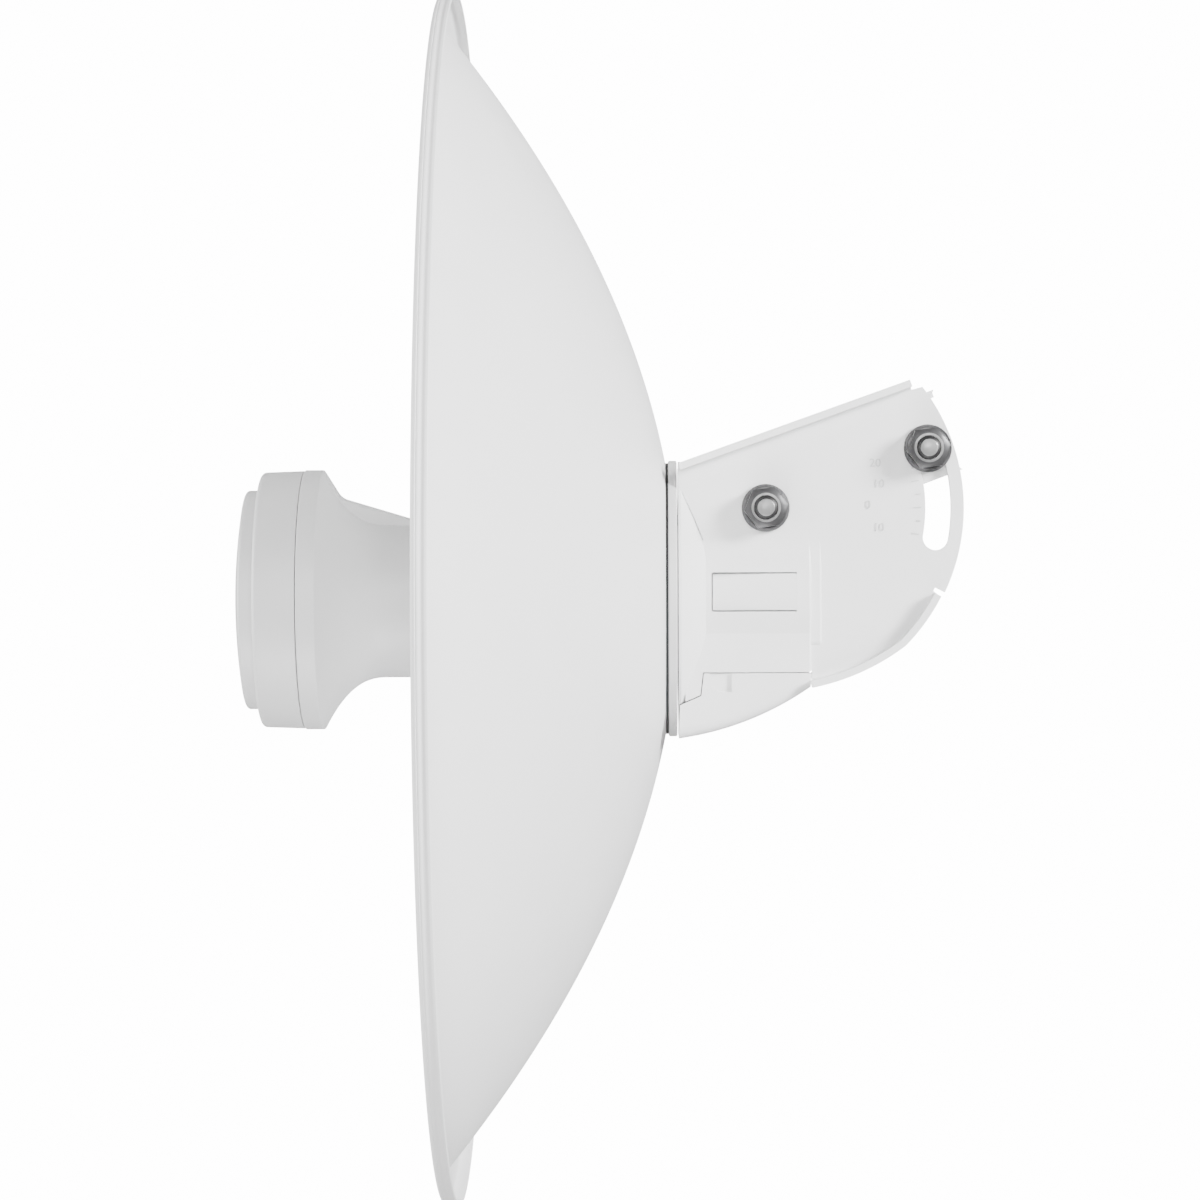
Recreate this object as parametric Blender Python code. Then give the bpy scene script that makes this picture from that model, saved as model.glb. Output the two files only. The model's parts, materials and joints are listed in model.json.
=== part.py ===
"""Outdoor wireless bridge: a dish antenna with a plug-in radio feed, a tilting yoke and a pole bracket.

Lengths are metres. The dish frame has its origin at the vertex of the reflector's rear surface, with
-Y along the beam, +Z up and +X to the side that carries the tilt scale. The world origin is the
middle of the pole bracket's jaws. The head is drawn at the top of its tilt range, 20 degrees above
the line square to the pole, so that the beam is level and the pole leans by the same angle.
"""
import math

import bmesh
import bpy
from mathutils import Matrix, Vector

MM = 0.001
GAP = 0.3 * MM  # between pieces that touch
WELD_DISTANCE = 0.003 * MM

# Reflector
DISH_RADIUS = 210 * MM
DISH_FOCAL_LENGTH = 121.7 * MM
DISH_SHEET = 1.2 * MM
RIM_FRONT_Y = -81.1 * MM
RIM_LIP_DEPTH = 5.5 * MM
RIM_ROUNDING = 3.4 * MM
HUB_FACE_Y = -4.3 * MM
HUB_BORE_RADIUS = 28.2 * MM
DISH_SEGMENTS = 64

# Hub: gasket, ring plate and the screws that hold them to the housing
RING_RADIUS = 48.2 * MM
RING_FRONT_Y = -3.7 * MM
RING_REAR_Y = -0.65 * MM
GASKET_INNER = 29.5 * MM
GASKET_OUTER = 44.5 * MM
GASKET_THICKNESS = 0.9 * MM
HUB_SCREW_CIRCLE = 38 * MM
HUB_SCREW_RADIUS = 1.9 * MM
HUB_SCREW_HEAD_RADIUS = 3.6 * MM
HUB_SCREW_HEAD_HEIGHT = 2.4 * MM
HUB_SCREW_END_Y = 2.4 * MM
HUB_SCREW_COUNT = 4

# Tilt: the yoke turns about the pivot bolts, and the lock bolts run in its arc slots
PIVOT_Y = 29.6 * MM
PIVOT_Z = 30.9 * MM
TILT_AT_REST = math.radians(20)
TILT_AT_STOP = math.radians(-10)
SLOT_RADIUS = 59 * MM
BOLT_RADIUS = 3.85 * MM
BOLT_HOLE_RADIUS = 4.35 * MM

# Yoke arms
ARM_OUTER_X = 30 * MM
ARM_SHEET = 2.5 * MM
ARM_INNER_X = ARM_OUTER_X - ARM_SHEET
ARM_FLANGE_X = 35 * MM
ARM_REAR_RADIUS = 67.8 * MM
SHORT_ARM_RADIUS = 48 * MM
SHORT_ARM_FOOT = (48 * MM, -29.5 * MM)
ARM_TOP_FRONT = (-0.3 * MM, 46.3 * MM)
ARM_TOP_REAR = (78.8 * MM, 74.4 * MM)
ARM_TOP_NOTCH = (79.6 * MM, 71.2 * MM)
ARM_LOWER_NOTCH_RADIUS = 64 * MM
ARM_FOOT = (46.3 * MM, -30.4 * MM)
ARM_FOOT_RADIUS = 67 * MM
ARM_FOOT_CURVE = 78 * MM

# Rear housing
HOUSING_FRONT_Y = -0.3 * MM
FLARE_EDGE_Y = 0.6 * MM
FLARE_REAR_Y = 9.4 * MM
FLARE_FRONT_RADIUS = 47.8 * MM
FLARE_REAR_RADIUS = 33.5 * MM
BARREL_REAR_Y = 45 * MM
COLLAR_REAR_Y = 48.6 * MM
COLLAR_HALF_WIDTH = 31 * MM
COLLAR_TOP_Z = 15.5 * MM
COLLAR_BOTTOM_Z = -16 * MM
BARREL_HALF_WIDTH = 31.8 * MM
BARREL_BULGE = 34 * MM
BARREL_TOP_Z = 17.3 * MM
SEAM_Z = -25.3 * MM
WALL = 2.2 * MM
CAVITY_FRONT_Y = 10.6 * MM
CAVITY_REAR_Y = 42.5 * MM

# Release tab, a tongue in each side of the housing
TAB_FRONT_Y = 11.4 * MM
TAB_HINGE_Y = 38.6 * MM
TAB_TOP_Z = 8.5 * MM
TAB_BOTTOM_Z = -4.1 * MM
TAB_CLEARANCE = 0.4 * MM

# Port cover
COVER_HALF_WIDTH = 31.8 * MM
COVER_REAR_Y = 44.9 * MM
COVER_REAR_Z = -30.4 * MM
COVER_FRONT_Z = -48 * MM
COVER_ARC_RADIUS = 104 * MM
COVER_WALL = 2 * MM
COVER_EDGE_ROUNDING = 5 * MM
GROMMET_Y = 30 * MM
GROMMET_HOLE_RADIUS = 6.8 * MM
CABLE_BORE_RADIUS = 2.9 * MM

# Feed
CAP_RADIUS = 38.3 * MM
CAP_APEX_Y = -154.3 * MM
CAP_EDGE_Y = -150.8 * MM
DRUM_FRONT_Y = -145.5 * MM
DRUM_SEAM_Y = -130.4 * MM
DRUM_REAR_Y = -124 * MM
DRUM_FRONT_RADIUS = 44.6 * MM
DRUM_REAR_RADIUS = 45.4 * MM
FEED_WALL = 2.2 * MM
FEED_SEGMENTS = 40
NECK_RADIUS = 27.3 * MM
NECK_REAR_Y = 8 * MM
FLARE_END_Y = -102 * MM
FLARE_SWEEP = 2.4
RIDGE_HALF_WIDTH = 9 * MM
RIDGE_KNEE = (-118.3 * MM, 35.8 * MM)
RIDGE_END_Y = -89 * MM
PLUG_HALF_WIDTH = 20 * MM
PLUG_TOP_Z = 14.2 * MM
PLUG_BOTTOM_Z = -17.5 * MM
PLUG_REAR_Y = 41.5 * MM
BOARD_THICKNESS = 1.6 * MM
BACKING_Y = -142 * MM
BACKING_RADIUS = 40 * MM
ANTENNA_BOARD_Y = -137 * MM
ANTENNA_BOARD_RADIUS = 39 * MM
PATCH_RADIUS = 13 * MM
PATCH_POST_RADIUS = 3 * MM
PATCH_POST_HEIGHT = 3.5 * MM
NECK_BOARD_HALF_WIDTH = 14 * MM
NECK_BOARD_FRONT_Y = -129 * MM
SHIELD_HALF_WIDTH = 12 * MM
SHIELD_HEIGHT = 4 * MM
SHIELD_Y = (-90 * MM, -30 * MM)
NECK_BOARD_Z = 1 * MM
JACK_WIDTH = 16 * MM
JACK_LENGTH = 13.5 * MM
JACK_Y = 31 * MM
BUTTON_Y = 16 * MM
BUTTON_RADIUS = 2.2 * MM

# Pole bracket, in a frame whose +Y points from the pivot to the pole
JAW_FROM_PIVOT = 67.5 * MM
JAW_TOP = 18.3 * MM
JAW_BOTTOM = -10.8 * MM
JAW_MIDDLE = (JAW_TOP + JAW_BOTTOM) / 2
BRACKET_OUTER_X = 26.8 * MM
BRACKET_SHEET = 2.5 * MM
BRACKET_INNER_X = BRACKET_OUTER_X - BRACKET_SHEET
BRACKET_EYE_RADIUS = 9.3 * MM
WEB_FROM_PIVOT = 36 * MM
JAW_NOTCH_DEPTH = 14 * MM
BAND_SLOT_X = 18 * MM
BAND_SLOT_HALF_HEIGHT = 7.2 * MM

# Fasteners: M8 carriage bolts and flange nuts
NUT_HEIGHT = 8 * MM
NUT_ACROSS_FLATS = 13 * MM
NUT_FLANGE_RADIUS = 8.2 * MM
NUT_FLANGE_HEIGHT = 1.8 * MM
NUT_BORE_RADIUS = BOLT_RADIUS + GAP
BOLT_END_X = 40 * MM
BOLT_HEAD_RADIUS = 7.4 * MM
BOLT_HEAD_HEIGHT = 3.4 * MM
BOLT_NECK = 7.6 * MM
SQUARE_HOLE = 8.3 * MM

PIVOT = Vector((0, PIVOT_Y, PIVOT_Z))


def clear_scene():
    for obj in list(bpy.data.objects):
        bpy.data.objects.remove(obj, do_unlink=True)


def material(name, colour, roughness, metallic=0.0):
    made = bpy.data.materials.new(name)
    made.use_nodes = True
    shader = made.node_tree.nodes["Principled BSDF"]
    shader.inputs["Base Color"].default_value = (*colour, 1)
    shader.inputs["Roughness"].default_value = roughness
    shader.inputs["Metallic"].default_value = metallic
    return made


def empty(name, location, parent=None, tilt=0.0):
    made = bpy.data.objects.new(name, None)
    bpy.context.scene.collection.objects.link(made)
    made.location = location
    made.rotation_euler = (tilt, 0, 0)
    made.parent = parent
    return made


def new_object(name, bm, smooth=True):
    bmesh.ops.recalc_face_normals(bm, faces=bm.faces)
    mesh = bpy.data.meshes.new(name)
    bm.to_mesh(mesh)
    bm.free()
    if smooth:
        mesh.shade_smooth()
        mesh.set_sharp_from_angle(angle=math.radians(35))
    made = bpy.data.objects.new(name, mesh)
    bpy.context.scene.collection.objects.link(made)
    return made


def place(obj, colour, parent, location=(0, 0, 0)):
    """Give a finished piece its colour, its parent and its place under that parent."""
    obj.data.materials.clear()
    obj.data.materials.append(colour)
    obj.parent = parent
    obj.location = location
    return obj


def turned(name, profile, segments, closed=True):
    """Solid of revolution about Y from (radius, y) points; an open profile starts and ends on the axis."""
    bm = bmesh.new()
    verts = [bm.verts.new((radius, y, 0)) for radius, y in profile]
    edges = [bm.edges.new(pair) for pair in zip(verts, verts[1:])]
    if closed:
        edges.append(bm.edges.new((verts[-1], verts[0])))
    bmesh.ops.spin(bm, geom=verts + edges, cent=(0, 0, 0), axis=(0, 1, 0), angle=math.tau,
                   steps=segments, use_merge=True)
    bmesh.ops.remove_doubles(bm, verts=bm.verts, dist=0.001 * MM)
    return new_object(name, bm)


def prism(name, outline, start, end, axis="X"):
    """Extrude a closed outline along an axis: (y, z) points along X, (x, z) along Y, (x, y) along Z."""
    lift = {
        "X": lambda a, b, c: (c, a, b),
        "Y": lambda a, b, c: (a, c, b),
        "Z": lambda a, b, c: (a, b, c),
    }[axis]
    bm = bmesh.new()
    base = bm.faces.new([bm.verts.new(lift(a, b, start)) for a, b in outline])
    moved = bmesh.ops.extrude_face_region(bm, geom=[base])["geom"]
    shift = Vector(lift(0, 0, end - start))
    bmesh.ops.translate(bm, vec=shift, verts=[v for v in moved if isinstance(v, bmesh.types.BMVert)])
    return new_object(name, bm)


def box(name, low, high):
    bm = bmesh.new()
    size = [b - a for a, b in zip(low, high)]
    middle = [(a + b) / 2 for a, b in zip(low, high)]
    bmesh.ops.create_cube(bm, size=1, matrix=Matrix.Translation(middle) @ Matrix.Diagonal((*size, 1)))
    return new_object(name, bm)


def cylinder(name, radius, low, high, centre=(0, 0), axis="Y", segments=24):
    """A cylinder along an axis; its centre is given in the two other axes, in order."""
    ring = [
        (centre[0] + radius * math.cos(math.tau * i / segments),
         centre[1] + radius * math.sin(math.tau * i / segments))
        for i in range(segments)
    ]
    return prism(name, ring, low, high, axis)


def weld(mesh):
    """Merge the near-coincident points that a cut leaves where two edges cross."""
    bm = bmesh.new()
    bm.from_mesh(mesh)
    bmesh.ops.remove_doubles(bm, verts=bm.verts, dist=WELD_DISTANCE)
    bmesh.ops.dissolve_degenerate(bm, edges=bm.edges, dist=WELD_DISTANCE)
    bm.to_mesh(mesh)
    bm.free()
    return mesh


def combine(target, tool, operation):
    """Apply one exact Boolean to a piece and throw the tool away."""
    cut = target.modifiers.new("Boolean", "BOOLEAN")
    cut.operation = operation
    cut.solver = "EXACT"
    cut.object = tool
    graph = bpy.context.evaluated_depsgraph_get()
    result = bpy.data.meshes.new_from_object(target.evaluated_get(graph))
    target.modifiers.clear()
    old = target.data
    target.data = weld(result)
    bpy.data.meshes.remove(old)
    bpy.data.objects.remove(tool, do_unlink=True)
    return target


def join(target, *tools):
    for tool in tools:
        combine(target, tool, "UNION")
    return target


def subtract(target, *tools):
    for tool in tools:
        combine(target, tool, "DIFFERENCE")
    return target


def arc(centre, radius, start, end, steps):
    """Points on an arc, angles in radians from the first axis towards the second."""
    return [
        (centre[0] + radius * math.cos(start + (end - start) * i / steps),
         centre[1] + radius * math.sin(start + (end - start) * i / steps))
        for i in range(steps + 1)
    ]


def arc_through(start, end, radius, steps):
    """Points on the arc of the given radius between two points, bulging to the right of the way there."""
    a, b = Vector(start), Vector(end)
    chord = b - a
    side = Vector((-chord.y, chord.x)).normalized()
    centre = (a + b) / 2 + side * math.sqrt(radius**2 - (chord.length / 2) ** 2)
    first = math.atan2(a.y - centre.y, a.x - centre.x)
    last = math.atan2(b.y - centre.y, b.x - centre.x)
    return arc(centre, radius, first, first + (last - first + math.pi) % math.tau - math.pi, steps)


def mirrored_copy(obj, name):
    """The same piece on the -X side."""
    bm = bmesh.new()
    bm.from_mesh(obj.data)
    bmesh.ops.scale(bm, vec=(-1, 1, 1), verts=bm.verts)
    return new_object(name, bm)


# ---------------------------------------------------------------- dish and hub

def dish_back_y(radius):
    return -(radius**2) / (4 * DISH_FOCAL_LENGTH)


def dish_reflector():
    """Spun sheet: flat hub, paraboloid, and a rounded rim that turns back into a short lip."""
    hub_edge = math.sqrt(-HUB_FACE_Y * 4 * DISH_FOCAL_LENGTH)
    flange_back_y = RIM_FRONT_Y + DISH_SHEET
    bowl_edge = math.sqrt(-flange_back_y * 4 * DISH_FOCAL_LENGTH)
    rings = 8
    radii = [hub_edge + (bowl_edge - hub_edge) * i / rings for i in range(rings + 1)]
    back = [(HUB_BORE_RADIUS, HUB_FACE_Y)] + [(r, dish_back_y(r)) for r in radii]
    lip_rear_y = RIM_FRONT_Y + RIM_LIP_DEPTH
    rim_centre = (DISH_RADIUS - RIM_ROUNDING, RIM_FRONT_Y + RIM_ROUNDING)
    inside = arc(rim_centre, RIM_ROUNDING - DISH_SHEET, -math.pi / 2, 0, 2)
    outside = arc(rim_centre, RIM_ROUNDING, 0, -math.pi / 2, 4)
    lip = [(DISH_RADIUS - DISH_SHEET, lip_rear_y), (DISH_RADIUS, lip_rear_y)]
    front = [(r, y - DISH_SHEET) for r, y in reversed(back)]
    dish = turned("dish_reflector", back + inside + lip + outside + front, DISH_SEGMENTS)
    return drill_for_hub_screws(dish, -9 * MM, -2 * MM)


def hub_screw_places():
    for i in range(HUB_SCREW_COUNT):
        angle = math.tau * (i + 0.5) / HUB_SCREW_COUNT
        yield HUB_SCREW_CIRCLE * math.cos(angle), HUB_SCREW_CIRCLE * math.sin(angle)


def drill_for_hub_screws(piece, low, high):
    for x, z in hub_screw_places():
        subtract(piece, cylinder("drill", HUB_SCREW_RADIUS + GAP, low, high, (x, z), segments=12))
    return piece


def hub_gasket():
    front = HUB_FACE_Y + GAP
    rear = front + GASKET_THICKNESS
    outline = [(GASKET_INNER, rear), (GASKET_OUTER, rear), (GASKET_OUTER, front), (GASKET_INNER, front)]
    return turned("hub_gasket", outline, 40)


def ring_plate():
    """A disc with a shallow seat for the gasket in its front face."""
    seat_y = HUB_FACE_Y + GAP + GASKET_THICKNESS + GAP
    seat_radius = GASKET_OUTER + GAP
    outline = [
        (HUB_BORE_RADIUS, RING_REAR_Y),
        (RING_RADIUS, RING_REAR_Y),
        (RING_RADIUS, RING_FRONT_Y),
        (seat_radius, RING_FRONT_Y),
        (seat_radius, seat_y),
        (HUB_BORE_RADIUS, seat_y),
    ]
    return turned("ring_plate", outline, 56)


def hub_screw(name):
    """Pan-head screw along +Y with its head's underside at the origin."""
    head = [
        (0, -HUB_SCREW_HEAD_HEIGHT),
        (HUB_SCREW_HEAD_RADIUS * 0.6, -HUB_SCREW_HEAD_HEIGHT * 0.94),
        (HUB_SCREW_HEAD_RADIUS, -HUB_SCREW_HEAD_HEIGHT * 0.45),
        (HUB_SCREW_HEAD_RADIUS, 0),
    ]
    length = HUB_SCREW_END_Y - (HUB_FACE_Y - DISH_SHEET - GAP)
    shank = [(HUB_SCREW_RADIUS, 0), (HUB_SCREW_RADIUS, length), (0, length)]
    return turned(name, list(reversed(head + shank)), 16, closed=False)


# ---------------------------------------------------------------- rear housing and yoke arms

def flare_radius(y):
    along = (y - FLARE_EDGE_Y) / (FLARE_REAR_Y - FLARE_EDGE_Y)
    return FLARE_FRONT_RADIUS + (FLARE_REAR_RADIUS - FLARE_FRONT_RADIUS) * along


def barrel_section():
    """Half outline of the barrel square to Y, from the seam up the +X side to the top."""
    bulge = [
        (BARREL_BULGE * math.cos(angle), BARREL_BULGE * math.sin(angle))
        for angle in [math.radians(d) for d in (-14, -7, 0, 7, 14, 21)]
    ]
    return [
        (BARREL_HALF_WIDTH, SEAM_Z),
        (BARREL_HALF_WIDTH, -12 * MM),
        *bulge,
        (ARM_OUTER_X, 15.8 * MM),
        (ARM_OUTER_X, BARREL_TOP_Z),
    ]


def whole_section(half):
    return half + [(-x, z) for x, z in reversed(half)]


def seam_line():
    """The stepped joint between the housing and the port cover, closed well below and behind them."""
    return [
        (60 * MM, SEAM_Z),
        (8.0 * MM, SEAM_Z),
        (7.1 * MM, -33 * MM),
        (-0.2 * MM, -36.2 * MM),
        (-0.5 * MM, -60 * MM),
        (60 * MM, -60 * MM),
    ]


def rear_housing():
    """Flared base, barrel with an open bottom, a lug ahead of the port cover and the rear collar."""
    flare = turned("rear_housing", [
        (0, HOUSING_FRONT_Y), (FLARE_FRONT_RADIUS, HOUSING_FRONT_Y), (FLARE_FRONT_RADIUS, FLARE_EDGE_Y),
        (FLARE_REAR_RADIUS, FLARE_REAR_Y), (0, FLARE_REAR_Y),
    ], 64, closed=False)
    barrel = prism("barrel", whole_section(barrel_section()), 2 * MM, BARREL_REAR_Y, "Y")
    collar = box("collar", (-COLLAR_HALF_WIDTH, BARREL_REAR_Y - 5 * MM, COLLAR_BOTTOM_Z),
                 (COLLAR_HALF_WIDTH, COLLAR_REAR_Y, COLLAR_TOP_Z))
    lug = box("lug", (-BARREL_HALF_WIDTH, 2 * MM, -37 * MM), (BARREL_HALF_WIDTH, 8 * MM, SEAM_Z + 1 * MM))
    combine(lug, cylinder("lug_limit", FLARE_FRONT_RADIUS, -5 * MM, 60 * MM, segments=64), "INTERSECT")
    join(flare, barrel, collar, lug)
    cavity_x = BARREL_HALF_WIDTH - WALL - 0.3 * MM
    cavity = box("cavity", (-cavity_x, CAVITY_FRONT_Y, -60 * MM),
                 (cavity_x, CAVITY_REAR_Y, BARREL_TOP_Z - WALL))
    bore = cylinder("bore", HUB_BORE_RADIUS, -5 * MM, CAVITY_FRONT_Y + 1 * MM, segments=48)
    cover_side = prism("cover_side", seam_line(), -60 * MM, 60 * MM)
    windows = box("windows", (-60 * MM, TAB_FRONT_Y - TAB_CLEARANCE, TAB_BOTTOM_Z - TAB_CLEARANCE),
                  (60 * MM, TAB_HINGE_Y + 1.5 * MM, TAB_TOP_Z + TAB_CLEARANCE))
    subtract(flare, cavity, bore, cover_side, windows)
    return drill_for_hub_screws(flare, -3 * MM, HUB_SCREW_END_Y + 1 * MM)


def release_tab(name):
    """Tongue about its own hinge line, which runs along Z at its rear end; its front dips inwards."""
    length = TAB_HINGE_Y - TAB_FRONT_Y
    outline = [
        (1.1 * MM, 0.6 * MM), (1.1 * MM, -1.4 * MM), (-length, -3.6 * MM), (-length, -1.4 * MM),
    ]
    return prism(name, [(x, y) for y, x in outline], TAB_BOTTOM_Z, TAB_TOP_Z, "Z")


def arm_polar(radius, degrees):
    angle = math.radians(degrees)
    return PIVOT_Y + radius * math.cos(angle), PIVOT_Z + radius * math.sin(angle)


def lock_arm_lower_edge():
    """The edge that carries the lower flange, from the rear notch down to the port cover."""
    rear = arc((PIVOT_Y, PIVOT_Z), ARM_FOOT_RADIUS, math.radians(-27), math.radians(-45), 4)
    return rear + arc_through(ARM_FOOT, rear[-1], ARM_FOOT_CURVE, 5)[-2::-1]


def short_arm_lower_edge():
    return arc_through(SHORT_ARM_FOOT, arm_polar(SHORT_ARM_RADIUS, -30), ARM_FOOT_CURVE, 6)[::-1]


def lock_arm_rear():
    """Rear edge of the arm with the slot, between its two relief notches."""
    return [
        ARM_TOP_REAR,
        ARM_TOP_NOTCH,
        *arc((PIVOT_Y, PIVOT_Z), ARM_REAR_RADIUS, math.radians(37.5), math.radians(-25), 16),
        arm_polar(ARM_LOWER_NOTCH_RADIUS, -25.3),
        arm_polar(ARM_LOWER_NOTCH_RADIUS, -26.5),
    ]


def short_arm_rear():
    """Rear edge of the arm that only carries the pivot, from the top edge down."""
    return arc((PIVOT_Y, PIVOT_Z), SHORT_ARM_RADIUS, math.radians(50.3), math.radians(-30), 14)[:-1]


def arm_outline(rear, lower_edge):
    """Side view of an arm, clockwise from its top front corner."""
    flare = []
    for i in range(5):
        y = FLARE_EDGE_Y + (FLARE_REAR_Y - FLARE_EDGE_Y) * (4 - i) / 4
        flare.append((y, math.sqrt((flare_radius(y) + 0.5 * MM) ** 2 - ARM_INNER_X**2)))
    return [
        ARM_TOP_FRONT,
        *rear,
        *lower_edge,
        (ARM_FOOT[0], COLLAR_BOTTOM_Z - GAP),
        (COLLAR_REAR_Y + GAP, COLLAR_BOTTOM_Z - GAP),
        (COLLAR_REAR_Y + GAP, BARREL_TOP_Z + GAP),
        (FLARE_REAR_Y + 1 * MM, BARREL_TOP_Z + GAP),
        *flare,
        (ARM_TOP_FRONT[0], flare[-1][1]),
    ]


def strip(path, thickness):
    """A band that lies inside a path of (y, z) points, on its right-hand side."""
    inner = []
    for i, point in enumerate(path):
        before = Vector(path[max(i - 1, 0)])
        after = Vector(path[min(i + 1, len(path) - 1)])
        along = (after - before).normalized()
        inner.append((point[0] + along.y * thickness, point[1] - along.x * thickness))
    return path + inner[::-1]


def yoke_arm(name, rear, lower_edge):
    """Sheet arm with a stiffening flange along its top and its lower edge and a hole for the pivot."""
    arm = prism(name, arm_outline(rear, lower_edge), ARM_INNER_X, ARM_OUTER_X)
    top = prism("top_flange", strip([ARM_TOP_FRONT, rear[0]], ARM_SHEET), ARM_INNER_X, ARM_FLANGE_X)
    foot = prism("lower_flange", strip(lower_edge, ARM_SHEET), ARM_INNER_X, ARM_FLANGE_X)
    join(arm, top, foot)
    hole = cylinder("hole", BOLT_HOLE_RADIUS, ARM_INNER_X - 1 * MM, ARM_OUTER_X + 1 * MM,
                    (PIVOT_Y, PIVOT_Z), "X")
    return subtract(arm, hole)


def arc_slot():
    """Cutter for the slot that the lock bolt runs in."""
    slot_ends = (TILT_AT_REST, TILT_AT_STOP)
    first = arm_polar(SLOT_RADIUS, math.degrees(slot_ends[0]))
    last = arm_polar(SLOT_RADIUS, math.degrees(slot_ends[1]))
    outer = arc((PIVOT_Y, PIVOT_Z), SLOT_RADIUS + BOLT_HOLE_RADIUS, slot_ends[0], slot_ends[1], 8)
    inner = arc((PIVOT_Y, PIVOT_Z), SLOT_RADIUS - BOLT_HOLE_RADIUS, slot_ends[1], slot_ends[0], 8)
    low_end = arc(last, BOLT_HOLE_RADIUS, slot_ends[1], slot_ends[1] - math.pi, 8)[1:-1]
    high_end = arc(first, BOLT_HOLE_RADIUS, slot_ends[0] + math.pi, slot_ends[0], 8)[1:-1]
    return prism("slot", outer + low_end + inner + high_end, ARM_INNER_X - 1 * MM, ARM_OUTER_X + 1 * MM)


# ---------------------------------------------------------------- port cover

def cover_side_view(inset):
    """Side outline of the cover, drawn in by a wall thickness where that is given."""
    front = (HOUSING_FRONT_Y + inset, COVER_FRONT_Z + inset)
    rear = (COVER_REAR_Y - inset, COVER_REAR_Z + inset)
    belly = arc_through(front, rear, COVER_ARC_RADIUS, 8)
    top = 0 if inset == 0 else 10 * MM
    seam_y = 8.3 * MM + inset
    return [
        *belly,
        (rear[0], SEAM_Z - GAP + top),
        (seam_y, SEAM_Z - GAP + top),
        (7.4 * MM + inset, -33.3 * MM + inset * 0.5),
        (0.1 * MM + inset, -36.5 * MM),
    ]


def scoop(name, inset):
    """The cover's outer form, or its hollow where it is drawn in by the wall, with rounded lower edges."""
    bm = bmesh.new()
    outline = cover_side_view(inset)
    half = COVER_HALF_WIDTH - inset
    base = bm.faces.new([bm.verts.new((-half, y, z)) for y, z in outline])
    moved = bmesh.ops.extrude_face_region(bm, geom=[base])["geom"]
    verts = [v for v in moved if isinstance(v, bmesh.types.BMVert)]
    bmesh.ops.translate(bm, vec=(2 * half, 0, 0), verts=verts)
    belly = {(round(y, 6), round(z, 6)) for y, z in outline[:9]}
    lower_edges = [
        e for e in bm.edges
        if all((round(v.co.y, 6), round(v.co.z, 6)) in belly for v in e.verts)
        and abs(e.verts[0].co.x - e.verts[1].co.x) < MM
    ]
    bmesh.ops.bevel(bm, geom=lower_edges, offset=COVER_EDGE_ROUNDING - inset, segments=3, profile=0.5,
                    affect="EDGES", clamp_overlap=True)
    return new_object(name, bm)


def port_cover():
    """Scoop under the housing: flat sides, rounded lower edges, open at the top."""
    return drill_cable_hole(subtract(scoop("port_cover", 0), scoop("hollow", COVER_WALL)))


def belly_point(y):
    """A point of the cover's lower outline and the outward direction there, both as (y, z)."""
    start = Vector((HOUSING_FRONT_Y, COVER_FRONT_Z))
    end = Vector((COVER_REAR_Y, COVER_REAR_Z))
    chord = end - start
    side = Vector((-chord.y, chord.x)).normalized()
    centre = (start + end) / 2 + side * math.sqrt(COVER_ARC_RADIUS**2 - (chord.length / 2) ** 2)
    z = centre.y - math.sqrt(COVER_ARC_RADIUS**2 - (y - centre.x) ** 2)
    outward = (Vector((y, z)) - centre).normalized()
    return Vector((y, z)), outward


def cable_grommet():
    """Stepped rubber ring: a flange inside the cover and a neck that ends just short of its outside."""
    flange_radius = GROMMET_HOLE_RADIUS + 1.6 * MM
    neck_radius = GROMMET_HOLE_RADIUS - GAP
    neck_end = -0.4 * MM
    step = -COVER_WALL - 1.6 * MM
    top = step - 1.6 * MM
    outline = [
        (CABLE_BORE_RADIUS, neck_end), (neck_radius, neck_end), (neck_radius, step),
        (flange_radius, step), (flange_radius, top), (CABLE_BORE_RADIUS, top),
    ]
    return turned("cable_grommet", outline, 24)


def outward_tilt():
    """Turn about X that lays +Y along the cover's outward direction at the cable hole."""
    outward = belly_point(GROMMET_Y)[1]
    return math.atan2(outward.y, outward.x)


def drill_cable_hole(cover):
    point, outward = belly_point(GROMMET_Y)
    drill = cylinder("drill", GROMMET_HOLE_RADIUS, -6 * MM, 6 * MM)
    drill.data.transform(Matrix.Translation((0, point.x, point.y)) @ Matrix.Rotation(outward_tilt(), 4, "X"))
    return subtract(cover, drill)


# ---------------------------------------------------------------- feed

def feed_front_cap():
    """Shallow domed disc on the front of the drum."""
    dome = 5
    rear_y = DRUM_FRONT_Y - GAP
    outline = [(0, rear_y), (CAP_RADIUS, rear_y), (CAP_RADIUS, CAP_EDGE_Y)]
    for i in range(1, dome + 1):
        share = 1 - i / dome
        outline.append((CAP_RADIUS * share, CAP_APEX_Y + (CAP_EDGE_Y - CAP_APEX_Y) * share**2))
    return turned("feed_front_cap", outline, FEED_SEGMENTS, closed=False)


def feed_front_shell():
    """Front half of the drum, a cup that opens to the rear."""
    seam_radius = DRUM_REAR_RADIUS - 0.3 * MM
    rear_y = DRUM_SEAM_Y - GAP
    outline = [
        (0, DRUM_FRONT_Y), (DRUM_FRONT_RADIUS - 0.8 * MM, DRUM_FRONT_Y),
        (DRUM_FRONT_RADIUS, DRUM_FRONT_Y + 0.8 * MM), (seam_radius, rear_y),
        (seam_radius - FEED_WALL, rear_y), (DRUM_FRONT_RADIUS - FEED_WALL, DRUM_FRONT_Y + FEED_WALL),
        (0, DRUM_FRONT_Y + FEED_WALL),
    ]
    return turned("feed_front_shell", outline, FEED_SEGMENTS, closed=False)


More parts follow.
